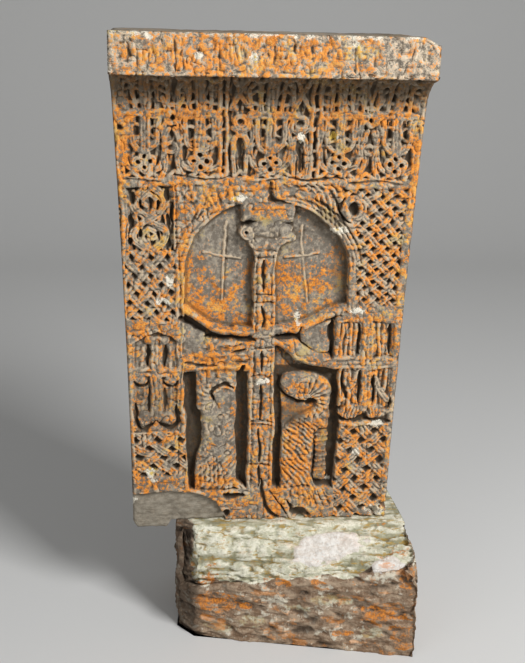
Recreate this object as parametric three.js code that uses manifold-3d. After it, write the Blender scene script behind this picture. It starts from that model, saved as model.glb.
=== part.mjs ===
// A khachkar: an upright cross-stone of carved tuff standing on a rough plinth block.
// Millimetres, +Z up, the carved face looks towards -Y, and the underside of the plinth is at Z = 0.
// The slab has its own frame: x across from its axis, y = 0 on the uncut face, z up from its underside.
import * as THREE from "three";
import { mergeVertices } from "three/addons/utils/BufferGeometryUtils.js";
import Module from "manifold-3d";

const wasm = await Module();
wasm.setup();

// Slab block
const slabHeight = 1462;
const slabThickness = 220;
const footHalfWidth = 397;
const headHalfWidth = 438;
const flarePower = 1.6;
const outlineSteps = 12;

// Cornice at the head, with the hollow moulding below it
const corniceHeight = 112;
const corniceReach = 100;
const coveHeight = 92;
const coveSteps = 7;
const strokeCount = 30;
const strokeWidth = 6;
const strokeHalf = 34;
const strokeStagger = 8;
const strokeMargin = 28;
const corniceBottom = slabHeight - corniceHeight;
const coveBottom = corniceBottom - coveHeight;

// Plinth, wider at the right than the slab, with its front running askew
const plinthHeight = 350;
const plinthHalfLength = 449;
const plinthHalfDepth = 257;
const plinthLeftX = -278;
const plinthLeftFrontX = -222;
const plinthLeftFrontY = -110;
const plinthLeftShoulderY = -43;
const plinthBackTaper = 22;
const plinthDropLeft = 196;
const plinthDropRight = 44;
const plinthRoughness = 9;
const plinthSteps = [14, 9, 5];
const cornerShare = 0.12;
const breakPower = 1.3;
const seatMargin = 22;
const seatGap = 0.3;

// Where the slab stands on the plinth
const slabAxisX = -11;
const slabFaceY = -13;

// Depths of the carving below the uncut face
const tierDepth = 17;
const bandDepth = 17;
const nicheDepth = 32;
const grooveDepth = 9;
const strokeDepth = 4;

// Widths of the carved straps
const strapWidth = 17;
const thinStrap = 13;
const stemStrap = 38;
const grooveWidth = 8;

// Upper tier: a row of five small crosses, tied together
const tierBottom = 1072;
const tierTop = 1332;
const tierMargin = 17;
const tierCrossX = [-352, -196, 0, 196, 352];
const tierKnotX = [-274, 274];
const tierDividerX = [-129, 129];
const tierArmZ = 1243;
const tierArmReach = 62;
const tierArmStrap = 24;
const tierLoopHalf = 37;
const tierLoopZ = 1176;
const tierLoopBottom = 1138;
const tierLyreHalf = 58;
const tierLyreRise = 56;
const tierFootZ = 1112;
const tierFootRadius = 29;
const tierHoodX = 47;
const tierHoodHalf = 15;
const tierHoodZ = 1298;
const tierKnotRadius = 24;
const tierKnotReach = 30;
const tierHookX = 84;
const tierHookHalf = 16;
const tierHookRing = 22;
const dividerStrap = 22;
const strapTuck = 4;

// Niche with its arch, and the large cross in it
const nicheHalfWidth = 240;
const nicheFootHalfWidth = 219;
const nicheBottom = 108;
const nicheKnee = 488;
const nicheSpring = 790;
const nicheTop = 1004;
const archSteps = 14;
const crossZ = 598;
const stemHalfUpper = 31;
const stemHalfLower = 41;
const armHalf = 36;
const armReach = 190;
const lobeSpread = 84;
const lobeReachX = 66;
const lobeReachZ = 62;
const lobeStrap = 40;
const stemTop = 906;
const neckHalf = 15;
const flareStrap = 26;
const flareRise = 66;
const voluteX = 53;
const voluteRadius = 23;
const crownHalf = 82;
const crownBottom = 944;
const stemGrooves = [[200, 300], [340, 440], [490, 556], [640, 692], [742, 832]];
const archBand = 33;

// Leaves that rise from the foot of the cross and curl back towards it
const leafInnerX = 55;
const leafOuterX = 198;
const leafBottom = 106;
const leafShoulder = 312;
const leafTop = 490;
const leafCrownRadius = 62;
const leafTipRadius = 40;
const leafWaist = 8;
const hookX = 124;
const hookZ = 393;
const hookHalfWidth = 30;
const hookHalfHeight = 20;
const hookMouthZ = 424;
const hookMouthHalf = 24;

// Side bands of knotwork beside the niche
const bandInner = 268;
const bandMargin = 20;
const latticePitch = 31;
const latticeLean = 52;
const bandWidth = 120;
const chainRadius = 38;
const chainSway = 62;
const smallCrossX = 322;
const smallCrossReach = 56;
const smallCrossStem = 30;
const lobeRadius = 20;
const gableHalf = 74;
const gableRise = 34;

// Damage to the slab, and its undressed foot
const lostFootSize = [310, 120, 150];
const lostFootPlace = [-262, -34, 32];
const lostFootTilt = -12;
const lostFootLean = 7;
const lostCornerSize = [120, 200, 60];
const lostCornerPlace = [headHalfWidth + 20, -corniceReach, slabHeight + 22];
const lostCornerLean = 34;
const chipRadius = 36;
const chipPlace = [118, -6, 4];
const hangLeft = -386;
const hangRight = -280;
const hangDrop = 22;
const hangInset = 28;

const degrees = Math.PI / 180;
const round = 6;

// Half the slab's width at a height: it flares a little towards the head.
function halfWidth(z) {
  const share = Math.min(Math.max(z / corniceBottom, 0), 1);
  return footHalfWidth + (headHalfWidth - footHalfWidth) * share ** flarePower;
}

// Shared helpers for solids

// A closed three.js geometry as a solid that can be joined and cut.
function solidOf(geometry) {
  geometry.deleteAttribute("normal");
  geometry.deleteAttribute("uv");
  const merged = mergeVertices(geometry, 1e-4);
  return new wasm.Manifold(
    new wasm.Mesh({
      numProp: 3,
      vertProperties: merged.attributes.position.array,
      triVerts: new Uint32Array(merged.index.array),
    }),
  );
}

function geometryOf(solid) {
  const mesh = solid.getMesh();
  const geometry = new THREE.BufferGeometry();
  geometry.setAttribute("position", new THREE.BufferAttribute(mesh.vertProperties, 3));
  geometry.setIndex(new THREE.BufferAttribute(mesh.triVerts, 1));
  geometry.computeVertexNormals();
  return geometry;
}

const joined = (solids) => solids.reduce((all, one) => all.add(one));

// A flat shape in x and z, drawn through the stone from in front of it to behind its carving.
const drawnFrom = -210;
const drawnTo = 120;

function prism(shape, front = drawnFrom, back = drawnTo) {
  const geometry = new THREE.ExtrudeGeometry(shape, {
    depth: back - front,
    bevelEnabled: false,
    curveSegments: round,
  });
  geometry.rotateX(Math.PI / 2);
  geometry.translate(0, back, 0);
  return solidOf(geometry);
}

const outline = (points) => new THREE.Shape(points.map(([x, z]) => new THREE.Vector2(x, z)));
const panel = (points) => prism(outline(points));

function disc(x, z, radius) {
  return prism(new THREE.Shape().absarc(x, z, radius, 0, 2 * Math.PI));
}

function ring(x, z, radius, width) {
  const shape = new THREE.Shape().absarc(x, z, radius + width / 2, 0, 2 * Math.PI);
  shape.holes.push(new THREE.Path().absarc(x, z, radius - width / 2, 0, 2 * Math.PI));
  return prism(shape);
}

// Points along an arc, with angles in degrees from +x towards +z.
function arc(x, z, radiusX, radiusZ, from, to, steps) {
  return Array.from({ length: steps + 1 }, (_, i) => {
    const angle = (from + ((to - from) * i) / steps) * degrees;
    return [x + radiusX * Math.cos(angle), z + radiusZ * Math.sin(angle)];
  });
}

// A strap of even width along a path.
function strap(path, width) {
  const sides = path.map(([x, z], i) => {
    const before = path[Math.max(i - 1, 0)];
    const after = path[Math.min(i + 1, path.length - 1)];
    const run = new THREE.Vector2(after[0] - before[0], after[1] - before[1]).normalize();
    const across = [(-run.y * width) / 2, (run.x * width) / 2];
    return { left: [x + across[0], z + across[1]], right: [x - across[0], z - across[1]] };
  });
  return panel([...sides.map((s) => s.right), ...sides.map((s) => s.left).reverse()]);
}

const bar = (x0, z0, x1, z1, width) => strap([[x0, z0], [x1, z1]], width);
const mirrored = (make) => [make(-1), make(1)];

// The uncut block with its front moved back by an inset, from its side profile.
function block(inset) {
  const reach = corniceReach + inset;
  const cove = arc(-corniceReach, coveBottom, reach, coveHeight + inset, 0, 90, coveSteps);
  const profile = outline([
    [inset, 0],
    ...cove,
    [-corniceReach, slabHeight],
    [slabThickness, slabHeight],
    [slabThickness, 0],
  ]);
  const widest = headHalfWidth + corniceReach;
  const geometry = new THREE.ExtrudeGeometry(profile, { depth: 2 * widest, bevelEnabled: false });
  geometry.applyMatrix4(
    new THREE.Matrix4().makeBasis(
      new THREE.Vector3(0, 1, 0),
      new THREE.Vector3(0, 0, 1),
      new THREE.Vector3(1, 0, 0),
    ),
  );
  geometry.translate(-widest, 0, 0);
  return solidOf(geometry);
}

// The slab's outline seen from the front, flared and cut square at the head.
function slabOutline() {
  const heights = Array.from({ length: outlineSteps + 1 }, (_, i) => (corniceBottom * i) / outlineSteps);
  const right = heights.map((z) => [halfWidth(z), z]);
  const head = [[headHalfWidth, slabHeight], [-headHalfWidth, slabHeight]];
  const left = heights.reverse().map((z) => [-halfWidth(z), z]);
  return prism(outline([...right, ...head, ...left]), drawnFrom, slabThickness + 10);
}

// Cuts a panel down to a depth everywhere that its straps don't cover.
function carve(stone, ground, straps, depth) {
  return stone.subtract(ground.subtract(joined(straps)).subtract(block(depth)));
}

// Upper tier

// Two thin straps that cross in the middle.
function saltire(x, z, reachX, reachZ) {
  return mirrored((lean) => bar(x - lean * reachX, z - reachZ, x + lean * reachX, z + reachZ, thinStrap));
}

function tierCross(x) {
  const loop = [
    [x - tierLoopHalf, tierArmZ],
    ...arc(x, tierLoopZ, tierLoopHalf, tierLoopZ - tierLoopBottom, 180, 360, 6),
    [x + tierLoopHalf, tierArmZ],
  ];
  const lyre = (side) => [
    ...arc(x, tierFootZ + tierFootRadius, side * tierLyreHalf, tierLyreRise, -62, 0, 4),
    [x + side * tierLyreHalf, tierArmZ],
  ];
  const hood = (side) => [
    [x + side * (tierHoodX - tierHoodHalf), tierArmZ],
    ...arc(x + side * tierHoodX, tierHoodZ, -side * tierHoodHalf, tierHoodHalf + strapTuck, 0, 180, 4),
    [x + side * (tierHoodX + tierHoodHalf), tierArmZ],
  ];
  return [
    bar(x, tierLoopBottom, x, tierTop + strapTuck, stemStrap),
    bar(x - tierArmReach, tierArmZ, x + tierArmReach, tierArmZ, tierArmStrap),
    strap(loop, thinStrap),
    ring(x, tierFootZ, tierFootRadius, thinStrap),
    ...saltire(x, tierFootZ, 0.75 * tierFootRadius, 0.75 * tierFootRadius),
    ...mirrored((side) => strap(lyre(side), thinStrap)),
    ...mirrored((side) => strap(hood(side), thinStrap)),
  ];
}

function tierKnot(x) {
  return [
    ring(x, tierArmZ, tierKnotRadius, thinStrap),
    ...saltire(x, tierArmZ, tierKnotReach, 1.3 * tierKnotReach),
    bar(x, tierBottom - strapTuck, x, tierArmZ - tierKnotRadius, strapWidth),
  ];
}

// The tendril that fills the field on either side of the middle cross.
function tierHook(side) {
  const x = side * tierHookX;
  const hook = [
    [x + side * tierHookHalf, tierBottom - strapTuck],
    ...arc(x, tierLoopZ, side * tierHookHalf, tierHookHalf + strapTuck, 0, 180, 5),
    [x - side * tierHookHalf, tierBottom - strapTuck],
  ];
  return [ring(x, tierArmZ - tierHookRing, tierHookRing, thinStrap), strap(hook, thinStrap)];
}

function carveTier(stone) {
  const edge = (z) => halfWidth(z) - tierMargin;
  const ground = panel([
    [-edge(tierBottom), tierBottom],
    [edge(tierBottom), tierBottom],
    [edge(tierTop), tierTop],
    [-edge(tierTop), tierTop],
  ]);
  const straps = [
    ...tierCrossX.flatMap(tierCross),
    ...tierKnotX.flatMap(tierKnot),
    ...mirrored(tierHook).flat(),
    ...tierDividerX.map((x) => bar(x, tierBottom - strapTuck, x, tierTop + strapTuck, dividerStrap)),
  ];
  return carve(stone, ground, straps, tierDepth);
}

// Niche, large cross and leaves

function nicheGround() {
  const arch = arc(0, nicheSpring, nicheHalfWidth, nicheTop - nicheSpring, 0, 180, archSteps);
  return panel([
    [nicheFootHalfWidth, nicheBottom],
    [nicheHalfWidth, nicheKnee],
    ...arch,
    [-nicheHalfWidth, nicheKnee],
    [-nicheFootHalfWidth, nicheBottom],
  ]);
}

// One end of the cross's arm: two lobes that turn away from each other.
function armLobes(side) {
  const x = side * (armReach - flareStrap / 2);
  return mirrored((up) =>
    strap(arc(x, crossZ + up * lobeSpread, side * lobeReachX, up * lobeReachZ, -98, -28, 5), lobeStrap),
  );
}

function largeCross() {
  const crown = panel([
    [-crownHalf + neckHalf, crownBottom],
    [crownHalf - neckHalf, crownBottom],
    [crownHalf, nicheTop],
    [-crownHalf, nicheTop],
  ]);
  return [
    bar(0, crossZ, 0, stemTop, 2 * stemHalfUpper),
    bar(0, 0, 0, crossZ, 2 * stemHalfLower),
    bar(-armReach, crossZ, armReach, crossZ, 2 * armHalf),
    bar(0, crossZ, 0, crownBottom + strapTuck, 2 * neckHalf),
    crown,
    ...mirrored(armLobes).flat(),
    ...mirrored((side) => disc(side * voluteX, stemTop, voluteRadius)),
    ...mirrored((side) => bar(side * neckHalf, stemTop - flareRise, side * voluteX, stemTop, flareStrap)),
  ];
}

function leaf(side) {
  const radius = leafCrownRadius;
  const crown = arc(side * (leafOuterX - radius), leafTop - radius, side * radius, radius, 0, 90, 5);
  const bend = leafTipRadius;
  const tip = arc(side * (leafInnerX + bend), leafTop - bend, side * bend, bend, 90, 180, 3);
  const body = panel([
    [side * leafInnerX, leafBottom],
    [side * leafOuterX, leafBottom],
    [side * (leafOuterX - leafWaist), leafShoulder],
    ...crown,
    ...tip,
  ]);
  const hook = panel([
    ...arc(side * hookX, hookZ, side * hookHalfWidth, hookHalfHeight, -130, 110, 8),
    [side * (leafInnerX + leafWaist), hookZ + hookHalfHeight],
    [side * leafInnerX, hookMouthZ + hookMouthHalf],
    [side * (leafInnerX - leafWaist), hookMouthZ],
    [side * leafInnerX, hookZ],
  ]);
  return body.subtract(hook);
}

function carveNiche(stone) {
  return carve(stone, nicheGround(), [...largeCross(), ...mirrored(leaf)], nicheDepth);
}

// Side bands

function bandGround({ side, bottom, top }) {
  const edge = (z) => side * (halfWidth(z) - bandMargin);
  return panel([
    [side * bandInner, bottom],
    [edge(bottom), bottom],
    [edge(top), top],
    [side * bandInner, top],
  ]);
}

// Two sets of slanting straps that cross all over a field.
function lattice({ side, bottom, top, pitch }) {
  const middle = (side * (bandInner + footHalfWidth)) / 2;
  const run = Math.cos(latticeLean * degrees);
  const rise = Math.sin(latticeLean * degrees);
  const length = top - bottom;
  const count = Math.ceil((length * run + bandWidth * rise) / (2 * pitch)) + 1;
  const offsets = Array.from({ length: 2 * count + 1 }, (_, i) => (i - count) * pitch);
  return offsets.flatMap((offset) =>
    mirrored((lean) => {
      const x = middle + offset * rise;
      const z = (bottom + top) / 2 - lean * offset * run;
      const reach = [lean * run * length, rise * length];
      return bar(x - reach[0], z - reach[1], x + reach[0], z + reach[1], strapWidth);
    }),
  );
}

// Rings stacked up a field, with two cords that wind through them.
function ringChain({ side, bottom, top, pitch }) {
  const x = (side * (bandInner + halfWidth(top) - bandMargin)) / 2;
  const count = Math.floor((top - bottom) / pitch);
  const middles = Array.from({ length: count }, (_, i) => bottom + (i + 0.5) * pitch);
  const rings = middles.map((z) => ring(x, z, chainRadius, strapWidth));
  const steps = Array.from({ length: 4 * count + 1 }, (_, i) => i / 4);
  const winding = (lean) =>
    steps.map((step) => [x + lean * chainSway * Math.cos(step * Math.PI), bottom + step * pitch]);
  const cords = mirrored((lean) => strap(winding(lean), strapWidth));
  return [...rings, ...cords];
}

// A small cross with round lobes, standing in its own field under two straps that lean together.
function smallCross({ side, bottom, top, armZ }) {
  const x = side * smallCrossX;
  const topZ = top - 2.2 * lobeRadius;
  const footZ = bottom + 1.8 * lobeRadius;
  const turned = mirrored((turn) => [
    disc(x + turn * lobeRadius, topZ, lobeRadius),
    disc(x + turn * 2.2 * lobeRadius, armZ - 1.3 * lobeRadius, 0.9 * lobeRadius),
    disc(x + turn * 1.45 * lobeRadius, footZ, 1.2 * lobeRadius),
    bar(x + turn * gableHalf, top - gableRise, x - turn * strapTuck, top + strapTuck, strapWidth),
  ]);
  return [
    bar(x, footZ, x, topZ, smallCrossStem),
    bar(x - smallCrossReach, armZ, x + smallCrossReach, armZ, tierArmStrap),
    ...turned.flat(),
  ];
}

function carveBands(stone) {
  const coarsePitch = 1.2 * latticePitch;
  const fields = [
    { side: -1, bottom: 872, top: 1034, fill: ringChain, pitch: 81 },
    { side: -1, bottom: 652, top: 872, fill: lattice, pitch: coarsePitch },
    { side: -1, bottom: 306, top: 640, fill: smallCross, armZ: 487 },
    { side: -1, bottom: 156, top: 294, fill: lattice, pitch: coarsePitch },
    { side: 1, bottom: 690, top: 1034, fill: lattice, pitch: latticePitch },
    { side: 1, bottom: 328, top: 652, fill: smallCross, armZ: 512 },
    { side: 1, bottom: 24, top: 314, fill: lattice, pitch: coarsePitch },
  ];
  return fields.reduce((cut, field) => carve(cut, bandGround(field), field.fill(field), bandDepth), stone);
}

// A shallow cut of one depth into a face that stands at y, along the given straps.
function engrave(stone, straps, y, depth) {
  const reach = 2 * slabHeight;
  const behind = outline([[-reach, -reach], [reach, -reach], [reach, reach], [-reach, reach]]);
  return stone.subtract(joined(straps).subtract(prism(behind, y + depth, drawnTo + 1)));
}

// The grooves along the middle of the cross's stem and the one that follows the arch
function carveGrooves(stone) {
  const stem = stemGrooves.map(([bottom, top]) => bar(0, bottom, 0, top, grooveWidth));
  const rise = nicheTop - nicheSpring + archBand;
  const arch = arc(0, nicheSpring, nicheHalfWidth + archBand, rise, 12, 168, archSteps);
  return engrave(stone, [...stem, strap(arch, grooveWidth)], 0, grooveDepth);
}

// Cornice: one row of plain shallow strokes where the inscription runs
function carveCornice(stone) {
  const pitch = (2 * (headHalfWidth - strokeMargin)) / strokeCount;
  const middle = (corniceBottom + slabHeight) / 2;
  const strokes = Array.from({ length: strokeCount }, (_, i) => {
    const x = -headHalfWidth + strokeMargin + (i + 0.5) * pitch;
    const low = middle - strokeHalf + strokeStagger * ((i * 5) % 3);
    const high = middle + strokeHalf - strokeStagger * ((i * 7) % 4);
    return bar(x, low, x, high, strokeWidth);
  });
  return engrave(stone, strokes, -corniceReach, strokeDepth);
}

// The damage: a lost foot at the left, a rounded corner at the head and a chipped lower edge
function wear(stone) {
  const lostFoot = new THREE.BoxGeometry(...lostFootSize);
  lostFoot.rotateX(lostFootTilt * degrees);
  lostFoot.rotateY(lostFootLean * degrees);
  lostFoot.translate(...lostFootPlace);
  const lostCorner = new THREE.BoxGeometry(...lostCornerSize);
  lostCorner.rotateY(lostCornerLean * degrees);
  lostCorner.translate(...lostCornerPlace);
  const chip = new THREE.IcosahedronGeometry(chipRadius, 1);
  chip.translate(...chipPlace);
  return [lostFoot, lostCorner, chip].reduce((left, cut) => left.subtract(solidOf(cut)), stone);
}

// The undressed foot of the slab hangs a little lower where the plinth doesn't reach.
function hangingFoot() {
  const middle = (hangLeft + hangRight) / 2;
  const shape = outline([
    [hangLeft, hangDrop],
    [hangLeft, -0.8 * hangDrop],
    [middle, -hangDrop],
    [hangRight - hangDrop / 2, -0.4 * hangDrop],
    [hangRight, hangDrop],
  ]);
  return prism(shape, hangInset, slabThickness - hangInset);
}

function slab() {
  const blank = block(0).intersect(slabOutline());
  const steps = [carveTier, carveNiche, carveBands, carveGrooves, carveCornice, wear];
  return steps.reduce((stone, step) => step(stone), blank).add(hangingFoot());
}

// Plinth: a rough block worked out from a box, its top flat under the slab and broken away in front
function rough(x, y, z) {
  const long = Math.sin(x / 83 + z / 47) * Math.cos(y / 71 - z / 59);
  const short = Math.sin(x / 31 - y / 37) * Math.cos(z / 29 + x / 53);
  return plinthRoughness * (0.65 * long + 0.35 * short);
}

// The front edge seen from above: a short cut-off corner at the left, then a long skew run to the right.
function plinthFront(u) {
  const { lerp } = THREE.MathUtils;
  if (u < cornerShare) {
    const share = u / cornerShare;
    return {
      x: lerp(plinthLeftX, plinthLeftFrontX, share),
      y: lerp(plinthLeftShoulderY, plinthLeftFrontY, share),
    };
  }
  const share = (u - cornerShare) / (1 - cornerShare);
  return {
    x: lerp(plinthLeftFrontX, plinthHalfLength, share),
    y: lerp(plinthLeftFrontY, -plinthHalfDepth, share),
  };
}

// A point of the block: u from left to right, v from front to back, w from the ground to the top.
function plinthPoint(u, v, w) {
  const { lerp, clamp } = THREE.MathUtils;
  const front = plinthFront(u);
  const backX = lerp(plinthLeftX + plinthBackTaper, plinthHalfLength - plinthBackTaper, u);
  const x = lerp(front.x, backX, v);
  const y = lerp(front.y, plinthHalfDepth, v);
  const slopeFrom = slabFaceY - seatMargin;
  const broken = clamp((slopeFrom - y) / (slopeFrom - front.y), 0, 1);
  const drop = lerp(plinthDropLeft, plinthDropRight, u) * broken ** breakPower;
  return { x, y, z: (plinthHeight - drop) * w };
}

function plinth() {
  const geometry = new THREE.BoxGeometry(1, 1, 1, ...plinthSteps);
  const place = geometry.attributes.position;
  for (let i = 0; i < place.count; i += 1) {
    const u = place.getX(i) + 0.5;
    const v = place.getY(i) + 0.5;
    const w = place.getZ(i) + 0.5;
    const { x, y, z } = plinthPoint(u, v, w);
    const worn = w > 0 && w < 1 ? Math.abs(rough(x, y, z)) : 0;
    const inX = u === 0 || u === 1 ? worn * Math.sign(0.5 - u) : 0;
    const inY = v === 0 || v === 1 ? worn * Math.sign(0.5 - v) : 0;
    place.setXYZ(i, x + inX, y + inY, z);
  }
  return solidOf(geometry);
}

// Finished pieces

function piece(name, solid, colour) {
  const material = new THREE.MeshStandardMaterial({ color: colour, roughness: 0.95, metalness: 0 });
  const mesh = new THREE.Mesh(geometryOf(solid), material);
  mesh.name = name;
  return mesh;
}

const khachkar = new THREE.Group();
const crossSlab = piece("cross_slab", slab(), 0x9a7a55);
crossSlab.position.set(slabAxisX, slabFaceY, plinthHeight + seatGap);
khachkar.add(crossSlab, piece("plinth_block", plinth(), 0xa89f86));

export default khachkar;
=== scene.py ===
import math
import bpy
import numpy as np
from mathutils import Matrix, Vector


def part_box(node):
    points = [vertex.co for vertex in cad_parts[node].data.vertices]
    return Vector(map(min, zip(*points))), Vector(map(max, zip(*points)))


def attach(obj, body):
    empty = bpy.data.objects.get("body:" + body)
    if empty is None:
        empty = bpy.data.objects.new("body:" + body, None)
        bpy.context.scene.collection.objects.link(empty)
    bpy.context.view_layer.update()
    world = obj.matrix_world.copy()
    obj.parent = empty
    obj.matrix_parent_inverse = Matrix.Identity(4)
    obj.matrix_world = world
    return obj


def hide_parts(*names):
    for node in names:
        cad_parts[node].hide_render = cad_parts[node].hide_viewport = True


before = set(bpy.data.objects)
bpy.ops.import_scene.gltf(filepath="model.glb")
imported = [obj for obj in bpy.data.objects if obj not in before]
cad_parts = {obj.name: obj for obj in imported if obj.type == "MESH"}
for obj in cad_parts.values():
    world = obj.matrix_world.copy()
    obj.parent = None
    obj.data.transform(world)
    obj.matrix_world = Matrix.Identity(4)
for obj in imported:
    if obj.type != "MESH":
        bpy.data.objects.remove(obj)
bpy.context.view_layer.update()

mm = 0.001
seed = 41

print("khachkar: frame loaded")


# places and small helpers

slab = {
    "footHang": 22, "footLeft": -402, "footRight": -276,   # the part of the foot that hangs lower
    "cornerLost": 46, "cornerSlope": 0.42,   # the worn corner at the right of the cornice
    "wallShare": 0.965, "rearTaper": 0.982, "rearDrop": 8, "slitReach": 12, "ridgeReach": 6,
    "height": 1462, "thickness": 220,             # mm, as the solid
    "footHalf": 397, "headHalf": 438, "flare": 1.6,
    "corniceHeight": 112, "corniceReach": 100, "coveHeight": 92,
    "columns": 400, "rows": 700, "walls": 6,      # cells of the sheet that is carved, and rows of the sides
    "backColumns": 44, "backRows": 76,
    "triangles": 192000,
}
slabLow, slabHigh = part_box("cross_slab")
axisX = (slabLow[0] + slabHigh[0]) / 2
faceY = slabHigh[1] - slab["thickness"] * mm
baseZ = slabHigh[2] - slab["height"] * mm
corniceBottom = slab["height"] - slab["corniceHeight"]
coveBottom = corniceBottom - slab["coveHeight"]
coveRun = math.pi / 4 * (slab["corniceReach"] + slab["coveHeight"])   # length round the hollow
corniceStart = coveBottom + coveRun
sheetTop = corniceStart + slab["corniceHeight"]


def smooth(value, low, high):
    t = np.clip((value - low) / (high - low), 0, 1)
    return t * t * (3 - 2 * t)


def noise(a, b, size, key):
    # soft random hills, from -1 to 1
    table = np.random.default_rng(seed + key).uniform(-1, 1, (97, 97))
    p, q = a / size + 500.3, b / size + 500.7
    i, j = np.floor(p).astype(int), np.floor(q).astype(int)
    f, g = p - i, q - j
    f, g = f * f * (3 - 2 * f), g * g * (3 - 2 * g)
    i0, i1, j0, j1 = i % 97, (i + 1) % 97, j % 97, (j + 1) % 97
    near = table[i0, j0] * (1 - f) + table[i1, j0] * f
    far = table[i0, j1] * (1 - f) + table[i1, j1] * f
    return near * (1 - g) + far * g


def roughNoise(a, b, size, key):
    return 0.6 * noise(a, b, size, key) + 0.4 * noise(a + b * 0.3, b - a * 0.3, size / 2.3, key + 1)


def blur(values, cells):
    # three passes of a running mean, along both directions
    width = max(1, int(round(cells)))
    span = 2 * width + 1
    for _ in range(3):
        for axis in (0, 1):
            pad = [(width + 1, width) if k == axis else (0, 0) for k in (0, 1)]
            total = np.cumsum(np.pad(values, pad, mode="edge"), axis=axis)
            length = values.shape[axis]
            high = np.take(total, np.arange(span, span + length), axis=axis)
            low = np.take(total, np.arange(length), axis=axis)
            values = (high - low) / span
    return values


def deepest(values, cells):
    # the largest value within a few cells, along both directions
    for axis in (0, 1):
        pad = [(cells, cells) if k == axis else (0, 0) for k in (0, 1)]
        padded = np.pad(values, pad, mode="edge")
        length = values.shape[axis]
        shifted = [np.take(padded, np.arange(k, k + length), axis=axis) for k in range(2 * cells + 1)]
        values = np.max(shifted, axis=0)
    return values


def shallowest(values, cells):
    return -deepest(-values, cells)


def halfWidth(z):
    share = np.clip(np.asarray(z, dtype=float) / corniceBottom, 0, 1)
    return slab["footHalf"] + (slab["headHalf"] - slab["footHalf"]) * share ** slab["flare"]


def arcPath(x, z, radiusX, radiusZ, start, end, steps=12):
    angles = np.radians(np.linspace(start, end, steps + 1))
    return [(x + radiusX * math.cos(a), z + radiusZ * math.sin(a)) for a in angles]


def softPath(points, steps=5):
    # a smooth curve through a few points
    ends = [points[0], *points, points[-1]]
    path = []
    for a, b, c, d in zip(ends, ends[1:], ends[2:], ends[3:]):
        for k in range(steps):
            t = k / steps
            path.append(tuple(
                0.5 * (2 * q + (r - p) * t + (2 * p - 5 * q + 4 * r - s) * t * t
                       + (3 * q - p - 3 * r + s) * t ** 3)
                for p, q, r, s in zip(a, b, c, d)))
    return path + [points[-1]]


# the sheet of stone that is carved: how deep each point lies under the uncut face, in mm

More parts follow.
